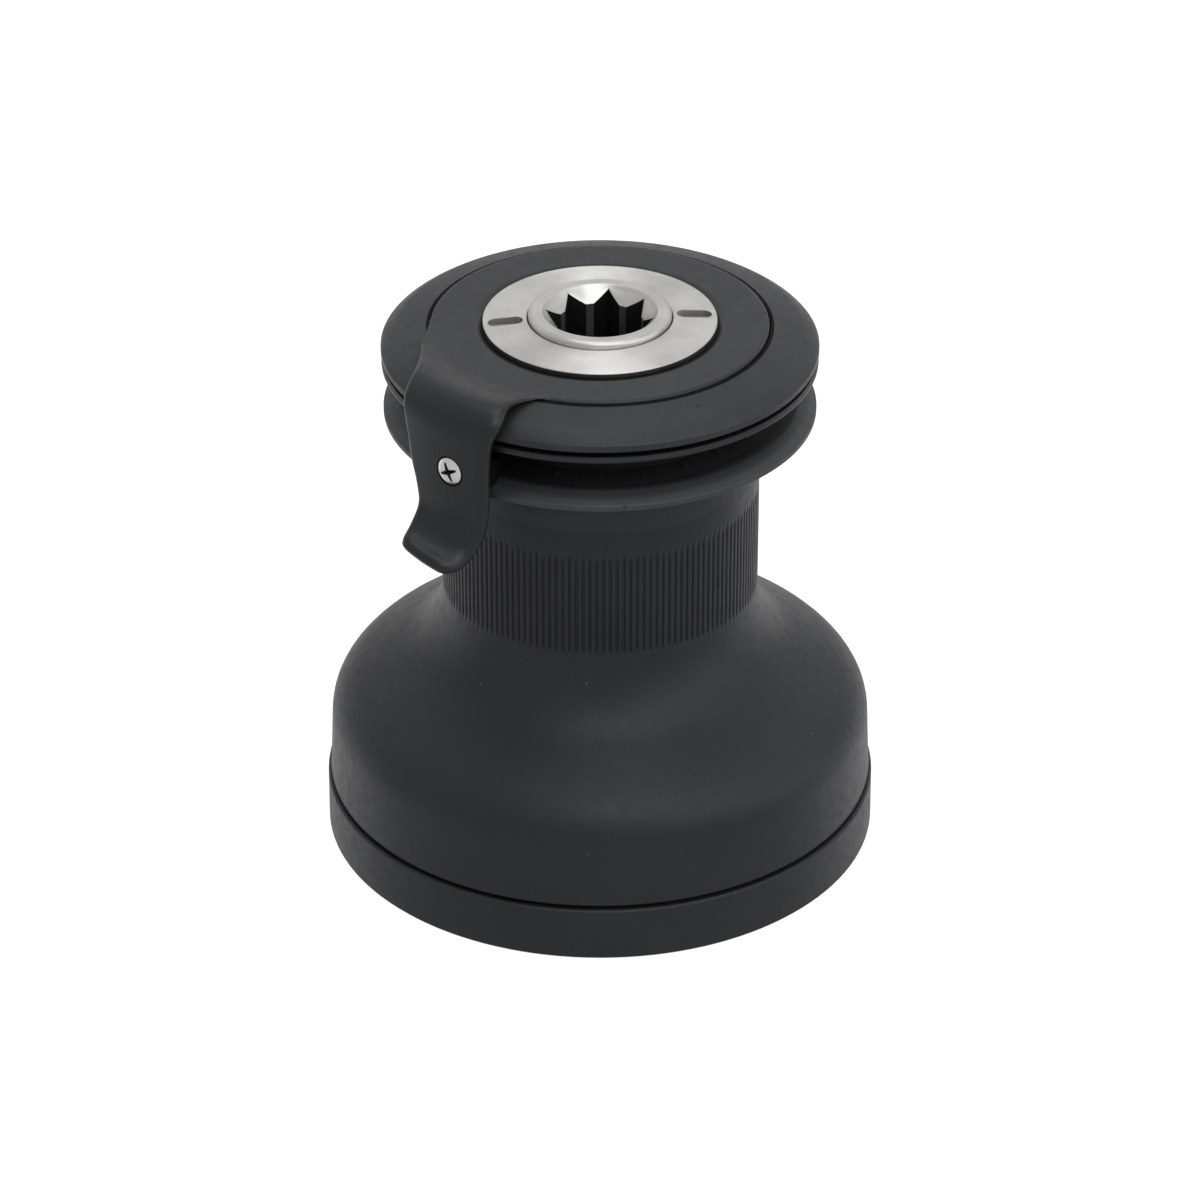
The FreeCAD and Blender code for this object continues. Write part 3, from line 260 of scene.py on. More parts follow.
def bump(nt, height, strength, distance, normal=None):
    b = nt.nodes.new("ShaderNodeBump")
    b.inputs["Strength"].default_value = strength
    b.inputs["Distance"].default_value = distance
    nt.links.new(height, b.inputs["Height"])
    if normal is not None:
        nt.links.new(normal, b.inputs["Normal"])
    return b.outputs["Normal"]


def specks(nt, vec, scale, size, amount, seed=0.0):
    """Sparse small dots: 1 inside a dot, 0 elsewhere."""
    off = nt.nodes.new("ShaderNodeVectorMath")
    off.operation = "ADD"
    off.inputs[1].default_value = (seed, seed * 0.7, seed * 1.3)
    nt.links.new(vec, off.inputs[0])
    v = nt.nodes.new("ShaderNodeTexVoronoi")
    v.feature = "F1"
    v.inputs["Scale"].default_value = scale
    nt.links.new(off.outputs[0], v.inputs["Vector"])
    near = math_node(nt, "LESS_THAN", v.outputs["Distance"], size)
    sep = nt.nodes.new("ShaderNodeSeparateColor")
    nt.links.new(v.outputs["Color"], sep.inputs["Color"])
    pick = math_node(nt, "LESS_THAN", sep.outputs[0], amount)
    return math_node(nt, "MULTIPLY", near, pick)


def satin_black(name, base=0.012, rough=0.46, spec=0.42, grain=0.5, turned_lines=False,
                tint=(0.955, 1.0, 1.06), pits=True, inner=None, bands=None):
    m, nt, b = mat_new(name)
    vec = coords(nt)
    cloud = noise(nt, vec, 38.0, 5.0, 0.6)
    fine = noise(nt, vec, 2600.0, 3.0, 0.6)
    mid = noise(nt, vec, 420.0, 4.0, 0.6)
    col = ramp(nt, cloud, [(0.32, grey(base * 0.82, tint)), (0.5, grey(base, tint)), (0.70, grey(base * 1.22, tint))])
    if bands:
        # Colour that changes with height: (z in mm, factor) steps.
        tc = nt.nodes.new("ShaderNodeTexCoord")
        sep = nt.nodes.new("ShaderNodeSeparateXYZ")
        nt.links.new(tc.outputs["Object"], sep.inputs["Vector"])
        lo, hi = bands[0][0], bands[-1][0]
        t = math_node(nt, "MULTIPLY_ADD", sep.outputs["Z"], 1000.0 / (hi - lo))
        t.node.inputs[2].default_value = -lo / (hi - lo)
        c2 = ramp(nt, t, [((z - lo) / (hi - lo), grey(f * 0.5)) for z, f in bands])
        col = mix_color(nt, 1.0, col, c2, "MULTIPLY")
        col = mix_color(nt, 1.0, col, (2.0, 2.0, 2.0, 1.0), "MULTIPLY")
    if inner:
        # Painted shade: colour factor f towards the axis, fading out from radius r0 to r1 (mm), darkens the inner part
        # where shade falls.
        r0, r1, f = inner
        tc = nt.nodes.new("ShaderNodeTexCoord")
        sep = nt.nodes.new("ShaderNodeSeparateXYZ")
        nt.links.new(tc.outputs["Object"], sep.inputs["Vector"])
        xx = math_node(nt, "MULTIPLY", sep.outputs["X"], sep.outputs["X"])
        yy = math_node(nt, "MULTIPLY", sep.outputs["Y"], sep.outputs["Y"])
        rr = math_node(nt, "SQRT", math_node(nt, "ADD", xx, yy))
        t = math_node(nt, "DIVIDE", math_node(nt, "SUBTRACT", rr, r0 * MM), (r1 - r0) * MM, True)
        c2 = ramp(nt, t, [(0.0, grey(f / 4.0)), (1.0, grey(0.25))])
        col = mix_color(nt, 1.0, col, c2, "MULTIPLY")
        col = mix_color(nt, 1.0, col, (4.0, 4.0, 4.0, 1.0), "MULTIPLY")
    height = fine
    if pits:
        p = specks(nt, vec, 190.0, 0.080, 0.075)
        d = specks(nt, vec, 330.0, 0.06, 0.050, 3.1)
        col = mix_color(nt, p, col, grey(base * 0.15))
        col = mix_color(nt, d, col, grey(base * 9.0))
    nt.links.new(col, b.inputs["Base Color"])
    rr = ramp(nt, mid, [(0.3, grey(rough - 0.05)), (0.7, grey(rough + 0.06))])
    nt.links.new(rr, b.inputs["Roughness"])
    b.inputs["Specular IOR Level"].default_value = spec
    b.inputs["Specular Tint"].default_value = (0.955, 1.0, 1.05, 1.0)
    n = bump(nt, fine, 0.35 * grain, 0.00006)
    n = bump(nt, mid, 0.25 * grain, 0.00009, n)
    if pits:
        inv = math_node(nt, "SUBTRACT", 1.0, p)
        n = bump(nt, inv, 0.5, 0.00008, n)
    nt.links.new(n, b.inputs["Normal"])
    return m


def turned_steel(name, base=(0.62, 0.61, 0.59), rough=0.27, aniso=0.55, ring_scale=2400.0, dark=1.0):
    """Steel faced on a lathe: fine rings about the vertical axis."""
    m, nt, b = mat_new(name)
    tc = nt.nodes.new("ShaderNodeTexCoord")
    sep = nt.nodes.new("ShaderNodeSeparateXYZ")
    nt.links.new(tc.outputs["Object"], sep.inputs["Vector"])
    xx = math_node(nt, "MULTIPLY", sep.outputs["X"], sep.outputs["X"])
    yy = math_node(nt, "MULTIPLY", sep.outputs["Y"], sep.outputs["Y"])
    rr = math_node(nt, "SQRT", math_node(nt, "ADD", xx, yy))
    comb = nt.nodes.new("ShaderNodeCombineXYZ")
    nt.links.new(rr, comb.inputs[0])
    nt.links.new(math_node(nt, "MULTIPLY", sep.outputs["Z"], 1.0), comb.inputs[1])
    rings = noise(nt, comb.outputs[0], ring_scale, 3.0, 0.7)
    vec = tc.outputs["Object"]
    cloud = noise(nt, vec, 120.0, 5.0, 0.6)
    col = ramp(nt, cloud, [(0.3, (base[0] * 0.86 * dark, base[1] * 0.86 * dark, base[2] * 0.86 * dark, 1)),
                           (0.7, (base[0] * 1.06 * dark, base[1] * 1.06 * dark, base[2] * 1.06 * dark, 1))])
    lines = ramp(nt, rings, [(0.35, grey(0.90)), (0.65, grey(1.0))])
    col = mix_color(nt, 1.0, col, lines, "MULTIPLY")
    nt.links.new(col, b.inputs["Base Color"])
    b.inputs["Metallic"].default_value = 1.0
    r2 = math_node(nt, "MULTIPLY_ADD", rings, 0.16)
    r2.node.inputs[2].default_value = rough - 0.06
    nt.links.new(r2, b.inputs["Roughness"])
    b.inputs["Anisotropic"].default_value = aniso
    b.inputs["Anisotropic Rotation"].default_value = 0.25
    tg = nt.nodes.new("ShaderNodeTangent")
    tg.direction_type = "RADIAL"
    tg.axis = "Z"
    nt.links.new(tg.outputs["Tangent"], b.inputs["Tangent"])
    n = bump(nt, rings, 0.30, 0.00002)
    nt.links.new(n, b.inputs["Normal"])
    return m


def plain_metal(name, base, rough=0.35, metallic=1.0, scale=900.0):
    m, nt, b = mat_new(name)
    vec = coords(nt)
    a = noise(nt, vec, scale, 4.0, 0.6)
    c = noise(nt, vec, scale / 12.0, 4.0, 0.6)
    col = ramp(nt, c, [(0.3, (base[0] * 0.8, base[1] * 0.8, base[2] * 0.8, 1)), (0.7, (base[0] * 1.1, base[1] * 1.1, base[2] * 1.1, 1))])
    nt.links.new(col, b.inputs["Base Color"])
    b.inputs["Metallic"].default_value = metallic
    r = ramp(nt, a, [(0.3, grey(rough - 0.08)), (0.7, grey(rough + 0.1))])
    nt.links.new(r, b.inputs["Roughness"])
    nt.links.new(bump(nt, a, 0.25, 0.00004), b.inputs["Normal"])
    return m


M_DRUM = satin_black("drum_black", base=0.0125, rough=0.47, spec=0.40,
                     bands=[(0.0, 1.0), (89.4, 1.0), (90.4, 0.80), (95.2, 0.80), (96.0, 1.45), (101.3, 1.5), (102.0, 0.9), (130.0, 0.9)])
M_BASE = satin_black("base_black", base=0.013, rough=0.50, spec=0.38, tint=(0.955, 1.0, 1.06))
# Painted shade: the lower jaw's top is coloured darker inwards of 44.6 mm radius, where the upper jaw shades the gap.
M_JAW = satin_black("jaw_black", base=0.034, rough=0.50, spec=0.50, inner=(42.0, 44.6, 0.72))
M_UPPER = satin_black("upper_jaw_black", base=0.011, rough=0.36, spec=0.46)
M_COVER = satin_black("cover_black", base=0.0225, rough=0.45, spec=0.38, tint=(0.97, 1.0, 1.03))
# Painted shade: near-black material for the seam round the plate, standing in for the shadow in that gap.
M_SEAM_SHADE = satin_black("seam_painted_shade", base=0.0040, rough=0.70, spec=0.09, pits=False)
M_ARM = satin_black("arm_black", base=0.0088, rough=0.36, spec=0.44, tint=(0.96, 1.0, 1.05), pits=True)
M_FINGER = satin_black("finger_black", base=0.004, rough=0.6, spec=0.12, pits=False)
M_CAP = turned_steel("cap_steel", base=(0.765, 0.755, 0.73), rough=0.41, aniso=0.90)
M_SLOT = plain_metal("slot_steel", (0.36, 0.355, 0.34), 0.5)
# Painted shade: dark steel colours for the socket's walls and lands stand in for the shade down in the socket.
M_SOCKET_SHADE = plain_metal("socket_painted_shade", (0.055, 0.055, 0.053), 0.50)
M_LAND_SHADE = plain_metal("socket_land_painted_shade", (0.22, 0.215, 0.21), 0.55)
M_SPINDLE = turned_steel("spindle_steel", base=(0.66, 0.65, 0.625), rough=0.34, aniso=0.4, ring_scale=1800.0)
M_SCREW = plain_metal("screw_steel", (0.86, 0.85, 0.83), 0.33)
# Painted shade: a dark steel colour for the cross recess stands in for the shade inside it.
M_CROSS_SHADE = plain_metal("recess_painted_shade", (0.17, 0.165, 0.15), 0.5)
# Painted shade: a dark steel colour for the cap's outer side stands in for the shadow gap round the cap.
M_EDGE_SHADE = plain_metal("cap_edge_painted_shade", (0.14, 0.138, 0.134), 0.45)
M_GEAR = plain_metal("gear_steel", (0.36, 0.36, 0.37), 0.38)
M_BRONZE = plain_metal("bronze", (0.50, 0.34, 0.16), 0.38)
M_STEM = plain_metal("stem_alloy", (0.50, 0.50, 0.51), 0.42)
M_POLY = plain_metal("bearing_polymer", (0.62, 0.60, 0.54), 0.45, 0.0)
M_FAST = plain_metal("fastener_steel", (0.50, 0.50, 0.49), 0.32)
M_SPRING = plain_metal("spring_steel", (0.045, 0.045, 0.047), 0.45)


def dress(o, mat):
    o.data.materials.clear()
    o.data.materials.append(mat)
    return o


for n, o in NODES.items():
    pick = M_GEAR
    if n in ("foot_bush", "spindle_bushes", "thrust_washers"):
        pick = M_BRONZE
    elif n == "stem":
        pick = M_STEM
    elif n in ("gear_spacers", "bearing_spacer", "lower_cage", "lower_rollers", "upper_cage", "upper_rollers"):
        pick = M_POLY
    elif n in ("stem_screws", "crown_screws"):
        pick = M_FAST
    elif n == "jaw_spring":
        pick = M_SPRING
    elif n == "base":
        pick = M_BASE
    elif n == "stripper_finger":
        pick = M_FINGER
    o.data.materials.clear()
    o.data.materials.append(pick)


# ------------------------------------------------------------------ drum
RIBS = 150
NECK_R = 36.5
rib_depth = 0.34


outer = [(57.2, 9.5, 0.3), (59.5, 9.5, 0.3), (59.5, 13.75), (62.7, 13.75)]
outer = rounded([(57.2, 9.5, 0.3), (59.5, 9.5, 0.3), (59.5, 13.7, 0.0), (63.52, 13.7, 0.55), (62.85, 28.5)], 4)[:-1]
# skirt, rounding, shoulder cone, fillet
skirt = [(63.35, 17.0), (63.12, 22.0), (62.95, 26.3)]
bend = [(62.85, 28.4), (62.80, 29.2), (62.68, 30.1), (62.50, 31.0), (62.24, 31.9), (61.86, 32.85), (61.40, 33.75), (60.86, 34.65), (60.22, 35.5),
        (59.50, 36.35), (58.72, 37.15), (57.85, 37.98), (56.95, 38.7), (55.9, 39.47), (54.85, 40.2), (53.8, 40.87),
        (52.0, 42.03), (50.2, 43.18), (48.4, 44.33)]
fillet = arc_pts(58.5, 64.0, 22.0, 237.0, 181.0, 16)
neck_rows = [63.70, 64.10, 64.6, 66.0, 70.0, 76.0, 82.0, 86.0, 88.2, 89.0, 89.8, 90.6, 93.0, 95.4]
profile = list(outer) + skirt + bend + [p for p in fillet if p[1] < 63.6]
first_neck = len(profile)
for z in neck_rows:
    profile.append((NECK_R, z))
profile += [(36.46, 95.9), (36.35, 98.5)]
profile += rounded([(36.35, 98.5), (36.25, 101.2, 0.15), (34.5, 101.2, 0.0), (34.5, 114.0, 0.0)], 3)[1:]
profile += [(29.4, 114.0), (29.4, 119.0), (26.9, 119.0), (26.9, 95.0), (31.0, 95.0), (31.0, 58.0), (34.6, 54.7),
            (36.8, 50.6), (40.2, 46.1), (44.6, 42.6), (48.5, 40.0), (48.5, 37.2), (50.6, 37.2), (50.6, 26.2), (57.2, 23.5)]

PER = 6
RIB_SHAPE = [1.0, 1.0, 0.12, 0.0, 0.0, 0.12]   # groove floor, then the crown of the rib
RIB_POS = [-0.10, 0.10, 0.22, 0.40, 0.60, 0.78]
angles = []
for k in range(RIBS):
    for s in RIB_POS:
        angles.append(2 * PI * (k + s) / RIBS)


def rib_offset(i, j, a, r, z):
    if z < 63.6 or z > 91.0 or r < 36.0:
        return 0.0
    k = j % PER
    cell = j // PER
    wob = 0.5 + 0.5 * math.sin(cell * 2.399963)
    depth = rib_depth * smoothstep(63.65, 64.25, z) * (1.0 - smoothstep(87.6 + 0.7 * wob, 90.0 + 0.5 * wob, z))
    crown = 0.02 if k in (3, 4) else 0.0
    return -depth * RIB_SHAPE[k] + crown * smoothstep(64.0, 66.0, z) * (1.0 - smoothstep(87.0, 89.5, z))


v, f = lathe_data(profile, 0, rib_offset, angles)
drum = new_object("drum_shell", v, f, smooth=False)
recalc(drum)
finish_normals(drum, 38.0)
dress(drum, M_DRUM)
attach(drum, "drum")
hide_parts("drum")


# ------------------------------------------------------------------- jaws
def rib_blocks(r0, r1, zf_top, zf_bot, w, count, r_round=0.25):
    """Radial ribs with bevelled crowns: zf_* give the height at a radius."""
    parts = []
    steps = 6
    for k in range(count):
        a = 2 * PI * k / count
        ca, sa = math.cos(a), math.sin(a)
        verts, faces = [], []
        for i in range(steps + 1):
            t = i / steps
            r = r0 + (r1 - r0) * t
            fade = math.sin(min(1.0, min(t, 1 - t) * 5.0) * PI / 2)
            hw = w / 2 * (0.65 + 0.35 * fade)
            zb, zt = zf_bot(r), zf_bot(r) + (zf_top(r) - zf_bot(r)) * (0.35 + 0.65 * fade)
            sec = [(-hw, zb), (hw, zb), (hw, zb + (zt - zb) * 0.72), (hw * 0.55, zt), (-hw * 0.55, zt), (-hw, zb + (zt - zb) * 0.72)]
            for y, z in sec:
                verts.append((r * ca - y * sa, r * sa + y * ca, z))
        m = 6
        for i in range(steps):
            for q in range(m):
                q2 = (q + 1) % m
                faces.append((i * m + q, i * m + q2, (i + 1) * m + q2, (i + 1) * m + q))
        faces.append(tuple(range(m - 1, -1, -1)))
        faces.append(tuple(steps * m + q for q in range(m)))
        parts.append((verts, faces))
    return parts


def jaw_top(r):
    return 109.85 + 0.75 * (48.7 - r) / (48.7 - 34.6)


low_prof = rounded([(34.62, 104.5, 0.3), (38.5, 104.5, 0.8), (48.75, 108.05, 0.2), (49.15, 108.3, 0.15),
                    (49.15, 109.40, 0.2), (48.90, 109.64, 0.4), (47.3, 110.70, 5.0), (45.0, 111.45, 1.8), (43.4, 111.05, 1.5), (41.2, 110.20, 1.5),
                    (34.62, 110.45, 0.3)], 6)
parts = [lathe_data(low_prof, 288)]
parts += rib_blocks(35.2, 38.8, lambda r: jaw_top(r) + 0.14, lambda r: jaw_top(r) - 0.6, 1.3, 24)
keys = []
for k in range(6):
    a = 2 * PI * k / 6
    ca, sa = math.cos(a), math.sin(a)
    ring = [(33.3, -2), (35.0, -2), (35.0, 2), (33.3, 2)]
    vv = [(x * ca - y * sa, x * sa + y * ca, z) for z in (104.6, 110.3) for x, y in ring]
    keys.append((vv, [(3, 2, 1, 0), (4, 5, 6, 7), (0, 1, 5, 4), (1, 2, 6, 5), (2, 3, 7, 6), (3, 0, 4, 7)]))
v, f = join_data(parts + keys)
lower = new_object("lower_jaw_disc", v, f, smooth=False)
recalc(lower)
finish_normals(lower, 40.0)
dress(lower, M_JAW)
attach(lower, "lower_jaw")
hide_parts("lower_jaw")


def jaw_under(r):
    return 115.4 + (r - 34.6) / 14.3 * 4.75


up_prof = rounded([(29.45, 114.05, 0.2), (34.6, 114.05, 0.4), (34.6, 115.4, 0.3), (48.9, 120.15, 0.35), (49.38, 120.55, 0.25),
                       (49.38, 121.12, 0.1), (49.2, 121.22, 0.05), (49.2, 121.62, 0.16), (48.85, 121.8, 0.12), (47.2, 121.3, 0.1), (45.3, 121.3, 0.1),
                       (45.3, 121.8, 0.1), (41.5, 121.8, 0.2), (40.0, 119.4, 0.2), (36.0, 119.0, 0.2), (29.45, 119.0, 0.2)], 4)
parts = [lathe_data(up_prof, 288)]
parts += rib_blocks(35.0, 40.6, lambda r: 115.1, lambda r: jaw_under(r) + 0.4, 1.3, 24)
v, f = join_data(parts)
upper = new_object("upper_jaw_disc", v, f, smooth=False)
recalc(upper)
finish_normals(upper, 40.0)
dress(upper, M_UPPER)
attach(upper, "drum")
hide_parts("upper_jaw")

# ------------------------------------------------------------ crown cover
cover_prof = rounded([(46.6, 121.8, 0.0), (46.6, 123.1, 0.0), (49.25, 123.0, 0.2), (49.48, 123.4, 0.2), (49.48, 124.62, 0.15), (49.0, 125.15, 0.5),
                      (48.3, 125.7, 1.5), (47.2, 126.42, 2.0), (46.3, 126.92, 3.0), (44.0, 127.62, 6.0), (41.5, 128.32, 6.0), (39.22, 128.943, 0.0), (38.5, 129.14, 0.1),
                      (38.40, 128.9, 0.1), (38.42, 126.5, 0.2), (42.0, 125.6, 0.5), (45.2, 124.3, 0.5), (45.2, 121.8, 0.0)], 5)
cover = lathe("crown_cover_shell", cover_prof, 288, sharp=40.0)
dress(cover, M_COVER)
# Painted shade: a near-black band in the seam round the plate stands in for the shadow in the gap beside the plate.
cover.data.materials.append(M_SEAM_SHADE)
for q in cover.data.polygons:
    c = q.center
    if math.hypot(c.x, c.y) < 39.22 * MM and c.z > 128.6 * MM:
        q.material_index = 1
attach(cover, "drum")
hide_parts("crown_cover")


# -------------------------------------------------- arm, with its plate
PLATE_TOP = 129.58
F = 54.3
sec = [(20.0, PLATE_TOP), (36.0, PLATE_TOP), (38.0, PLATE_TOP + 0.02), (40.0, PLATE_TOP + 0.28), (42.0, PLATE_TOP + 0.80), (43.6, PLATE_TOP + 1.22),
       (45.0, 131.12), (46.0, 131.22)]
sec += arc_pts(47.0, 123.95, 7.3, 90.0, 0.0, 30)
sec += [(F, 118.0), (F, 112.0), (F, 106.0)]
FLARE_I = len(sec)
FLARE_R = 7.7
sec += arc_pts(62.0, 102.6, FLARE_R, 180.0, 290.0, 44)
SEC_S = [0.0]
for (ra, za), (rb, zb) in zip(sec[:-1], sec[1:]):
    SEC_S.append(SEC_S[-1] + math.hypot(rb - ra, zb - za))
FLARE_S = SEC_S[FLARE_I]


def table(xs, ys, x):
    if x <= xs[0]:
        return ys[0]
    for i in range(1, len(xs)):
        if x <= xs[i]:
            t = (x - xs[i - 1]) / (xs[i] - xs[i - 1])
            return ys[i - 1] + (ys[i] - ys[i - 1]) * t
    return ys[-1]


SEC_R = [p[0] for p in sec]
SEC_Z = [p[1] for p in sec]


def arm_surface(az, s):
    """Outer face of the arm: azimuth in degrees, length s along the section."""
    r, z = table(SEC_S, SEC_R, s), table(SEC_S, SEC_Z, s)
    if s > FLARE_S:
        # The flare fades towards the right-hand edge and its lip climbs to the left.
        g = smoothstep(0.0, 1.0, (-117.0 - az) / 8.5)
        r = F + (r - F) * (0.25 + 0.75 * g)
    if s > FLARE_S - 13.0:
        q = max(0.0, (-118.0 - az) / 16.0)
        z += smoothstep(FLARE_S - 13.0, FLARE_S + 8.0, s) * 3.9 * (q * q if q < 0.5 else q - 0.25)
    a = math.radians(az)
    return Vector((r * math.cos(a), r * math.sin(a), z))


def arm_normal(az, s):
    e = 0.05
    da = arm_surface(az + e, s) - arm_surface(az - e, s)
    ds = arm_surface(az, s + e) - arm_surface(az, s - e)
    return ds.cross(da).normalized()


def arm_wall(s):
    if s > SEC_S[8] + 6.0:
        return 3.3
    r = table(SEC_S, SEC_R, s)
    return table([37.0, 38.3, 39.0, 40.5, 42.0, 46.0, 50.0, 53.5], [1.6, 0.38, 0.46, 1.02, 1.62, 2.5, 3.0, 3.3], r)


def poly_at(pts, t):
    """Point at fraction t of a polyline in (azimuth, s), measured along its length."""
    d = [0.0]
    for i in range(1, len(pts)):
        d.append(d[-1] + math.hypot((pts[i][0] - pts[i - 1][0]) * 0.9, pts[i][1] - pts[i - 1][1]))
    x = t * d[-1]
    for i in range(1, len(pts)):
        if d[i] >= x - 1e-9:
            u = (x - d[i - 1]) / max(1e-9, d[i] - d[i - 1])
            return (pts[i - 1][0] + (pts[i][0] - pts[i - 1][0]) * u, pts[i - 1][1] + (pts[i][1] - pts[i - 1][1]) * u)
    return pts[-1]


def smooth_poly(pts, rounds=2):
    """Corner cutting that keeps both ends."""
    for _ in range(rounds):
        out = [pts[0]]
        for i in range(len(pts) - 1):
            a, b = pts[i], pts[i + 1]
            out.append((a[0] * 0.75 + b[0] * 0.25, a[1] * 0.75 + b[1] * 0.25))
            out.append((a[0] * 0.25 + b[0] * 0.75, a[1] * 0.25 + b[1] * 0.75))
        out.append(pts[-1])
        pts = out
    return pts


# Outline of the arm in (azimuth, s): left edge, lip, right edge.
LEFT = smooth_poly([(-215.0, 14.5), (-206.0, 16.6), (-199.0, 17.2), (-187.0, 17.95), (-177.0, 18.9), (-168.2, 20.2), (-159.0, 22.4), (-152.5, 25.3),
                    (-148.6, 28.2), (-146.2, 31.5), (-144.7, 35.4), (-143.4, 39.0), (-142.2, 43.5), (-141.2, 49.2), (-139.6, 54.7), (-138.7, 60.5),
                    (-138.1, 63.8), (-137.8, 65.9), (-137.3, 67.6), (-136.7, 69.4)], 1)
RIM = smooth_poly([(-136.7, 69.4), (-136.1, 70.8), (-135.2, 71.6), (-134.0, 71.9), (-132.6, 71.95), (-130.8, 71.95), (-128.8, 71.95), (-126.9, 71.9),
                   (-125.0, 71.8), (-123.6, 71.7), (-122.5, 71.4), (-121.8, 70.9), (-121.2, 70.1), (-120.7, 68.8), (-120.1, 67.4), (-119.7, 65.7),
                   (-119.3, 64.2), (-119.0, 62.8)], 1)
RIGHT = smooth_poly([(-92.0, 14.5), (-97.0, 15.1), (-101.0, 15.9), (-104.2, 17.2), (-107.0, 18.4), (-109.8, 19.2), (-112.2, 20.2), (-114.0, 21.7),
                     (-114.9, 23.9), (-115.15, 26.5), (-114.8, 29.0), (-114.55, 31.6), (-114.85, 34.0), (-115.6, 36.1), (-116.4, 38.9), (-117.0, 42.0),
                     (-117.3, 47.1), (-117.5, 52.7), (-117.7, 56.0), (-118.1, 59.3), (-118.6, 61.2), (-119.0, 62.8)], 1)
TOPE = [(-215.0, 14.5), (-92.0, 14.5)]


def coons(u, v):
    T, B, L, R = poly_at(TOPE, u), poly_at(RIM, u), poly_at(LEFT, v), poly_at(RIGHT, v)
    c00, c10, c01, c11 = TOPE[0], TOPE[-1], RIM[0], RIM[-1]
    out = []
    for k in (0, 1):
        out.append((1 - v) * T[k] + v * B[k] + (1 - u) * L[k] + u * R[k]
                   - ((1 - u) * (1 - v) * c00[k] + u * (1 - v) * c10[k] + (1 - u) * v * c01[k] + u * v * c11[k]))
    return out


NU, NV = 64, 170


def edge_drop(d, reach, half):
    """How far the face falls at distance d from an edge rounded over a reach."""
    if d >= reach:
        return 0.0
    return half * (1.0 - math.sqrt(max(0.0, 1.0 - (1.0 - d / reach) ** 2)))


def arm_shell():
    grid = [[coons(i / NU, j / NV) for i in range(NU + 1)] for j in range(NV + 1)]
    P = [[arm_surface(*g) for g in row] for row in grid]
    N = [[arm_normal(*g) for g in row] for row in grid]
    edge = ([(P[j][0], 1.5) for j in range(NV + 1)]
            + [(P[NV][i], 1.65 + 1.55 * smoothstep(0.35, 0.95, i / NU)) for i in range(NU + 1)]
            + [(P[j][NU], 1.3 + 1.9 * smoothstep(24.0, 33.0, grid[j][NU][1])) for j in range(NV, -1, -1)])
    from mathutils.kdtree import KDTree
    kd = KDTree((len(edge) - 1) * 4)
    reach = []
    n = 0
    for (a, ra), (b, rb) in zip(edge[:-1], edge[1:]):
        for k in range(4):
            kd.insert(a.lerp(b, k / 4.0), n)
            reach.append(ra + (rb - ra) * k / 4.0)
            n += 1
    kd.balance()
    verts, faces, idx = [], [], {}
    for side in (0, 1):
        for j in range(NV + 1):
            for i in range(NU + 1):
                az, s = grid[j][i]
                co, hit, d = kd.find(P[j][i])
                th = arm_wall(s)
                drop = edge_drop(d, reach[hit] if side == 0 else min(1.65, reach[hit]), th / 2)
                if j == 0:
                    drop = 0.0
                if s < 18.2 and side == 0:
                    drop += 0.35 * smoothstep(18.2, 17.4, s)
                depth = drop if side == 0 else th - drop
                idx[(side, j, i)] = len(verts)
                verts.append(tuple(P[j][i] - N[j][i] * depth))
    for j in range(NV):
        for i in range(NU):
            faces.append((idx[(0, j, i)], idx[(0, j, i + 1)], idx[(0, j + 1, i + 1)], idx[(0, j + 1, i)]))
            faces.append((idx[(1, j + 1, i)], idx[(1, j + 1, i + 1)], idx[(1, j, i + 1)], idx[(1, j, i)]))
    loop = [(j, 0) for j in range(NV + 1)] + [(NV, i) for i in range(1, NU + 1)] + [(j, NU) for j in range(NV - 1, -1, -1)] + [(0, i) for i in range(NU - 1, 0, -1)]
    for k in range(len(loop)):
        (j0, i0), (j1, i1) = loop[k], loop[(k + 1) % len(loop)]
        faces.append((idx[(0, j0, i0)], idx[(0, j1, i1)], idx[(1, j1, i1)], idx[(1, j0, i0)]))
    return verts, faces


plate_prof = rounded([(21.75, 123.55), (30.0, 123.55), (31.5, 126.0), (38.2, 126.0), (38.2, PLATE_TOP, 0.25), (28.3, PLATE_TOP, 0.2),
                      (26.85, 129.05), (26.85, 128.8), (21.75, 128.8)], 4)
v, f = join_data([lathe_data(plate_prof, 256), arm_shell()])
arm = new_object("stripper_arm_cast", v, f, smooth=False)
recalc(arm)
m = arm.modifiers.new("remesh", "REMESH")
m.mode = "VOXEL"
m.voxel_size = 0.30 * MM
m.adaptivity = 0.0
bpy.context.view_layer.update()
apply_modifiers(arm)
m = arm.modifiers.new("smooth", "SMOOTH")
m.factor = 0.5
m.iterations = 5
bpy.context.view_layer.update()
apply_modifiers(arm)

# countersink for the screw
SA = math.radians(-127.5)
SD = Vector((math.cos(SA), math.sin(SA), 0.0))
SP = SD * F + Vector((0, 0, 115.0))
rot = SD.to_track_quat("Z", "Y").to_matrix()


def axis_solid(profile, segs):
    """Closed outline that starts and ends on the axis, turned."""
    verts, faces = [], []
    n = len(profile)
    verts.append((0.0, 0.0, profile[0][1]))
    inner = profile[1:-1]
    m = len(inner)
    for k in range(segs):
        a = 2 * PI * k / segs
        for r, z in inner:
            verts.append((r * math.cos(a), r * math.sin(a), z))
    verts.append((0.0, 0.0, profile[-1][1]))
    last = len(verts) - 1
    for k in range(segs):
        k2 = (k + 1) % segs
        faces.append((0, 1 + k2 * m, 1 + k * m))
        for i in range(m - 1):
            faces.append((1 + k * m + i, 1 + k2 * m + i, 1 + k2 * m + i + 1, 1 + k * m + i + 1))
        faces.append((last, 1 + k * m + m - 1, 1 + k2 * m + m - 1))
    return verts, faces


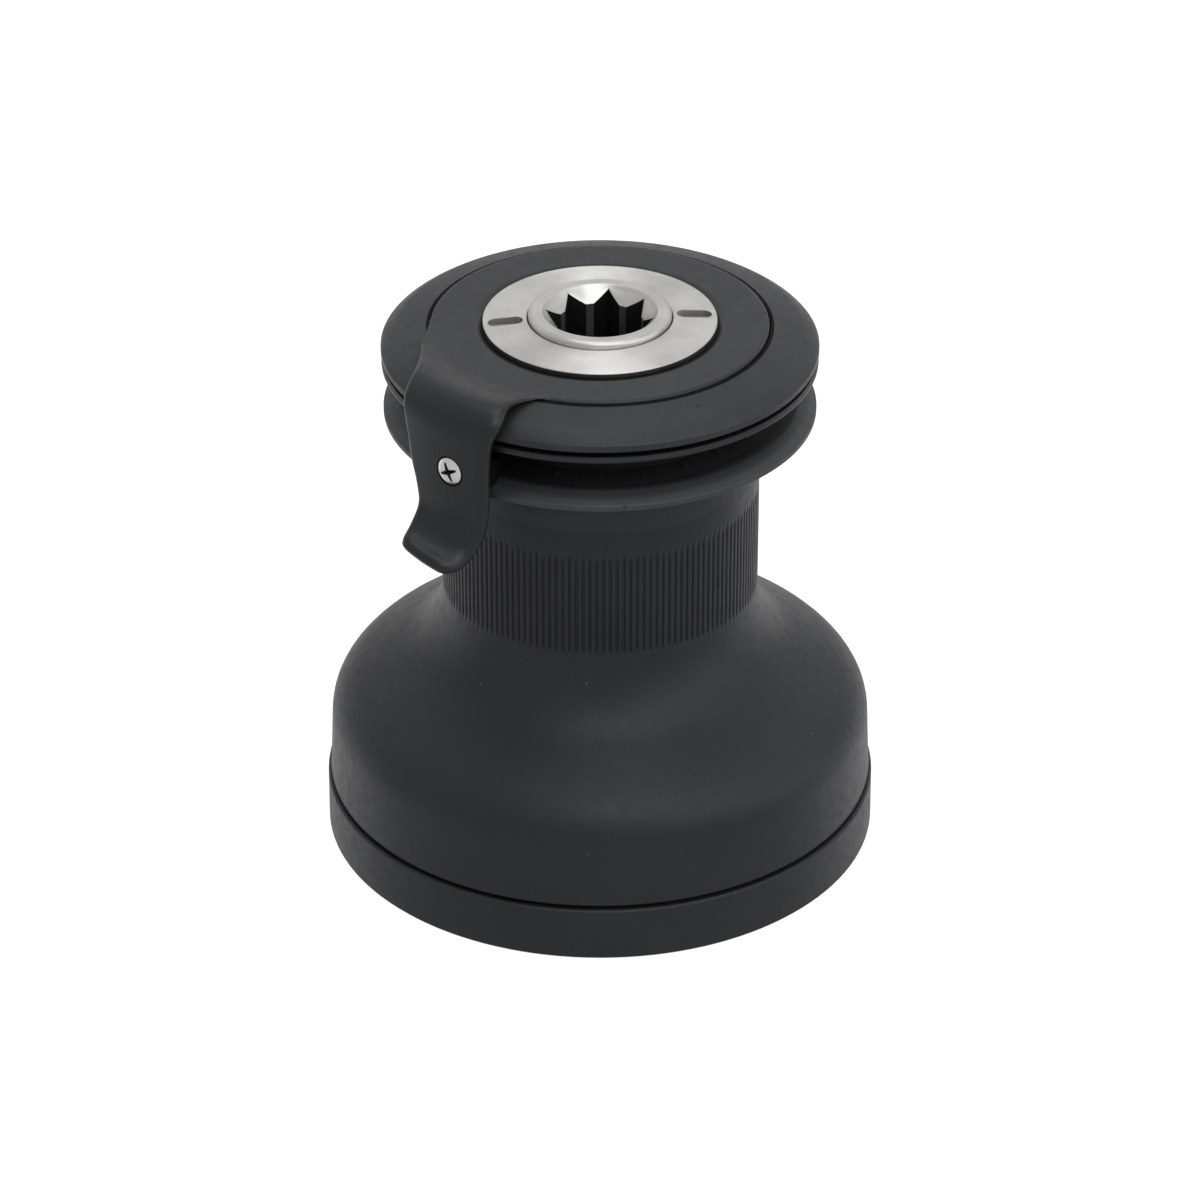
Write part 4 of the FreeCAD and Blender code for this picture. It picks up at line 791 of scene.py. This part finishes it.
def place(verts, matrix, origin):
    return [tuple(matrix @ Vector(p) + origin) for p in verts]


v, f = axis_solid([(0.0, -4.6), (1.9, -4.6), (1.9, -1.9), (3.58, -0.45), (3.66, 2.0), (0.0, 2.0)], 64)
tool = new_object("tool_csk", place(v, rot, SP), f, smooth=False)
recalc(tool)
cut(arm, tool)
finish_normals(arm, 42.0)
dress(arm, M_ARM)
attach(arm, "frame")
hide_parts("stripper_arm")

# countersunk screw with a crowned head and a cross recess
head = [(0.0, -6.6), (1.7, -6.6), (1.72, -1.95), (3.02, -0.62), (3.17, -0.40), (3.15, -0.12), (2.9, 0.10), (2.2, 0.32), (1.3, 0.46), (0.6, 0.51), (0.0, 0.52)]
v, f = axis_solid(head, 64)
scr = new_object("stripper_screw_head", place(v, rot, SP), f, smooth=False)
recalc(scr)
t = math.radians(24.0)
star = []
for z, tip, tip_w, root in ((1.2, 2.60, 0.27, 0.95), (-0.4, 2.05, 0.22, 0.80), (-2.8, 0.35, 0.05, 0.12)):
    row = []
    for k in range(4):
        c, sn = math.cos(t + k * PI / 2), math.sin(t + k * PI / 2)
        for x, y in ((root * 0.62, -root * 0.62), (root * 1.15, -root * 0.50), ((tip + root) * 0.55, -tip_w - 0.10), (tip, -tip_w),
                     (tip, tip_w), ((tip + root) * 0.55, tip_w + 0.10), (root * 1.15, root * 0.50)):
            row.append((x * c - y * sn, x * sn + y * c, z))
    star.append(row)
m = len(star[0])
vv = [q for row in star for q in row]
ff = [tuple(range(m))] + [tuple(2 * m + i for i in range(m - 1, -1, -1))]
for k in (0, 1):
    for i in range(m):
        i2 = (i + 1) % m
        ff.append((k * m + i, (k + 1) * m + i, (k + 1) * m + i2, k * m + i2))
tool = new_object("tool_cross", place(vv, rot, SP), ff, smooth=False)
recalc(tool)
# Painted shade: the cross recess's faces get a dark colour that stands in for the shade inside the recess.
for o in (scr, tool):
    o.data.materials.append(M_SCREW)
    o.data.materials.append(M_CROSS_SHADE)
for q in tool.data.polygons:
    q.material_index = 1
cut(scr, tool)
finish_normals(scr, 30.0)
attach(scr, "frame")
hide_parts("stripper_screw")

# --------------------------------------------------------- retaining cap
cap_prof = rounded([(16.45, 120.2), (18.55, 120.2), (18.55, 128.85), (26.45, 128.85), (26.45, 130.32, 0.28), (16.45, 130.98, 0.3)], 4)
cap = lathe("retaining_cap_disc", cap_prof, 256, sharp=30.0)
cap.data.materials.append(M_CAP)
cap.data.materials.append(M_SLOT)
for turn in (0.0, 180.0):
    a0 = math.radians(5.0 + turn)
    w, r0, r1 = 1.7, 17.4, 25.3
    pts = []
    for k in range(13):
        t = -PI / 2 + PI * k / 12
        pts.append((r1 - w + w * math.cos(t), w * math.sin(t)))
    for k in range(13):
        t = PI / 2 + PI * k / 12
        pts.append((r0 + w + w * math.cos(t), w * math.sin(t)))
    pts = [(x * math.cos(a0) - y * math.sin(a0), x * math.sin(a0) + y * math.cos(a0)) for x, y in pts]
    tool = prism_object("tool_slot", pts, 129.0, 133.0)
    tool.data.materials.append(M_CAP)
    tool.data.materials.append(M_SLOT)
    for q in tool.data.polygons:
        q.material_index = 1
    cut(cap, tool)
bev = cap.modifiers.new("edge", "BEVEL")
bev.width = 0.14 * MM
bev.segments = 2
bev.limit_method = "ANGLE"
bev.angle_limit = math.radians(50)
bpy.context.view_layer.update()
apply_modifiers(cap)
finish_normals(cap, 30.0)
# Painted shade: the cap's outer side wall is coloured dark to stand in for the shadow gap between cap and plate.
cap.data.materials.append(M_EDGE_SHADE)
for q in cap.data.polygons:
    c = q.center
    if math.hypot(c.x, c.y) > 26.3 * MM and abs(q.normal.z) < 0.45 and c.z < 130.3 * MM:
        q.material_index = 2
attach(cap, "frame")
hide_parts("retaining_cap")

# ---------------------------------------------------------------- spindle
HS = 17.46 / 2
STAR_AZ = 36.0
LAND = 9.85
CONE_R, CONE_Z, CONE_B = 12.75, 132.15, 129.1


def star_radius(d):
    """Socket radius at d degrees from a point of the star."""
    return max(HS / math.cos(math.radians(45.0 - abs(d))), LAND)


dmax = 45.0 - math.degrees(math.acos(HS / LAND))
half_steps = [0.0, 0.5, 1.5, 3.5, 6.0, 9.0, 12.0, 15.0, dmax - 0.6, dmax, dmax + 0.6, 22.5]
ang = []
for k in range(8):
    c = STAR_AZ + 45.0 * k
    for d in half_steps[:0:-1]:
        if d < 22.5:
            ang.append((c - d, -d))
    for d in half_steps:
        ang.append((c + d, d))
SP_TOP = 132.5
out_prof = [(13.1, SP_TOP), (14.2, SP_TOP + 0.02), (15.1, SP_TOP - 0.0)]
ring_arc = arc_pts(15.1, SP_TOP - 1.15, 1.12, 88.0, -2.0, 8)
side = [(16.2, 130.4), (16.2, 129.4), (16.0, 129.0), (13.9, 129.0), (13.9, 80.0), (13.9, 27.0), (16.0, 26.6), (16.0, 24.3), (11.0, 24.3),
        (11.0, 10.3), (8.0, 10.1), (8.0, 1.9), (7.6, 1.6)]
columns = []
for deg, d in ang:
    a = math.radians(deg)
    R = star_radius(d)
    zc = CONE_Z - (CONE_R - R) * (CONE_Z - CONE_B) / (CONE_R - 9.7)
    col = []
    # socket wall upwards, lead-in cone, top ring, outside downwards
    for z in (98.0, 104.0, 112.0, 120.0, 126.0, zc - 1.2, zc - 0.12):
        col.append((R, min(z, zc - 0.1)))
    col.append((R + 0.10, zc + 0.02))
    for t in (0.25, 0.5, 0.75):
        rr = R + (CONE_R - R) * t
        col.append((rr, zc + (CONE_Z - zc) * t))
    col.append((CONE_R, CONE_Z))
    col.append((12.9, CONE_Z + 0.22))
    col += out_prof + ring_arc + side
    columns.append([(r * math.cos(a), r * math.sin(a), z) for r, z in col])
verts = [p for c in columns for p in c]
n = len(columns[0])
m_ = len(columns)
faces = []
for j in range(m_):
    k = (j + 1) % m_
    for i in range(n - 1):
        faces.append((j * n + i, k * n + i, k * n + i + 1, j * n + i + 1))
bot = len(verts)
verts.append((0, 0, 98.0))
verts.append((0, 0, 1.6))
for j in range(m_):
    k = (j + 1) % m_
    faces.append((bot, k * n, j * n))
    faces.append((bot + 1, j * n + n - 1, k * n + n - 1))
spin = new_object("spindle_shaft", verts, faces, smooth=False)
recalc(spin)
finish_normals(spin, 26.0)
dress(spin, M_SPINDLE)
# Painted shade: the socket's walls and lands get dark steel colours that stand in for the shade down in the socket.
spin.data.materials.append(M_SOCKET_SHADE)
spin.data.materials.append(M_LAND_SHADE)
for q in spin.data.polygons:
    c = q.center
    if math.hypot(c.x, c.y) < 13.0 * MM and c.z < 131.95 * MM and abs(q.normal.z) < 0.25 and c.z > 97.0 * MM:
        q.material_index = 2 if math.hypot(c.x, c.y) < (LAND + 0.02) * MM else 1
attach(spin, "spindle")
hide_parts("spindle")


# ----------------------------------------------------- floor, light, camera
def stage_material(name, base, glow):
    m, nt, b = mat_new(name)
    b.inputs["Base Color"].default_value = (base, base, base, 1)
    b.inputs["Roughness"].default_value = 0.9
    b.inputs["Specular IOR Level"].default_value = 0.0
    b.inputs["Emission Color"].default_value = (1, 1, 1, 1)
    b.inputs["Emission Strength"].default_value = glow
    return m


def stage_object(name, verts, faces, mat):
    """Floor or backdrop: seen, but the soft light comes from the lamps and the sky alone."""
    me = bpy.data.meshes.new(name)
    me.from_pydata(verts, [], faces)
    o = bpy.data.objects.new(name, me)
    scene.collection.objects.link(o)
    me.materials.append(mat)
    o.visible_diffuse = False
    o.visible_glossy = False
    o.visible_shadow = False
    return o


S = 5.0
stage_object("floor", [(-S, -S, -0.0002), (S, -S, -0.0002), (S, S, -0.0002), (-S, S, -0.0002)], [(0, 1, 2, 3)],
             stage_material("floor_pale", 0.30, 0.94))
ring_v, ring_f = [], []
for k in range(48):
    a = 2 * PI * k / 48
    for z in (-0.0002, 4.0):
        ring_v.append((4.9 * math.cos(a), 4.9 * math.sin(a), z))
for k in range(48):
    k2 = (k + 1) % 48
    ring_f.append((2 * k, 2 * k + 1, 2 * k2 + 1, 2 * k2))
stage_object("backdrop", ring_v, ring_f, stage_material("backdrop_pale", 0.0, 1.0))


def soft_box(name, az, el, dist, width, height, radiance, aim=(0.0, 0.0, 0.06)):
    """Rectangular soft light in a direction from the object; radiance sets its power."""
    a, e = math.radians(az), math.radians(el)
    loc = Vector(aim) + Vector((math.cos(e) * math.cos(a), math.cos(e) * math.sin(a), math.sin(e))) * dist
    d = bpy.data.lights.new(name, "AREA")
    d.shape = "RECTANGLE"
    d.size = width
    d.size_y = height
    d.energy = radiance * PI * width * height
    o = bpy.data.objects.new(name, d)
    scene.collection.objects.link(o)
    o.location = loc
    o.rotation_euler = (Vector(aim) - loc).to_track_quat("-Z", "Y").to_euler()
    o.visible_camera = False
    return o


soft_box("front_high", -78.0, 55.0, 1.3, 0.80, 0.60, 1.90)
soft_box("front_right", -45.0, 30.0, 1.3, 0.70, 0.80, 1.05)
soft_box("right_high", -10.0, 45.0, 1.2, 0.80, 0.60, 0.50)
soft_box("right_low", -10.0, 12.0, 1.2, 0.80, 0.50, 0.89)
soft_box("left_high", -170.0, 45.0, 1.2, 0.80, 0.60, 0.07)
soft_box("overhead", 90.0, 84.0, 1.2, 0.80, 0.80, 1.36)
soft_box("back_mid", 90.0, 33.0, 1.3, 1.20, 0.60, 0.32)
soft_box("back_left", 140.0, 33.0, 1.3, 0.90, 0.70, 0.24)
soft_box("back_right", 40.0, 33.0, 1.3, 0.90, 0.70, 0.41)

# Sky: even above, and below the horizon a pale floor that is brighter behind the object.
world = bpy.data.worlds.new("world")
scene.world = world
world.use_nodes = True
wt = world.node_tree
bg = wt.nodes["Background"]
wc = wt.nodes.new("ShaderNodeTexCoord")
wsep = wt.nodes.new("ShaderNodeSeparateXYZ")
wt.links.new(wc.outputs["Generated"], wsep.inputs["Vector"])
half = math_node(wt, "MULTIPLY_ADD", wsep.outputs["Y"], 0.5)
half.node.inputs[2].default_value = 0.5
low = ramp(wt, half, [(0.30, grey(0.60)), (0.42, grey(0.555)), (0.58, grey(0.555)), (0.70, grey(1.02))])
rise = math_node(wt, "MULTIPLY_ADD", wsep.outputs["Z"], 12.0, True)
rise.node.inputs[2].default_value = 0.5
sky = mix_color(wt, rise, low, grey(0.53))
wt.links.new(sky, bg.inputs["Color"])
bg.inputs["Strength"].default_value = 1.0

cam_d = bpy.data.cameras.new("camera")
cam_d.sensor_width = 36.0
cam_d.lens = 36.0 * 5012.0 / 1200.0
cam_d.clip_start = 0.05
cam_d.clip_end = 50.0
cam = bpy.data.objects.new("camera", cam_d)
scene.collection.objects.link(cam)
EL = math.radians(30.66)
D = 1.165
cam.location = (0.0, -D * math.cos(EL), 0.05674 + D * math.sin(EL))
cam.rotation_euler = (Vector((0, 0, 0.05674)) - cam.location).to_track_quat("-Z", "Y").to_euler()
scene.camera = cam
scene.view_settings.view_transform = "Standard"
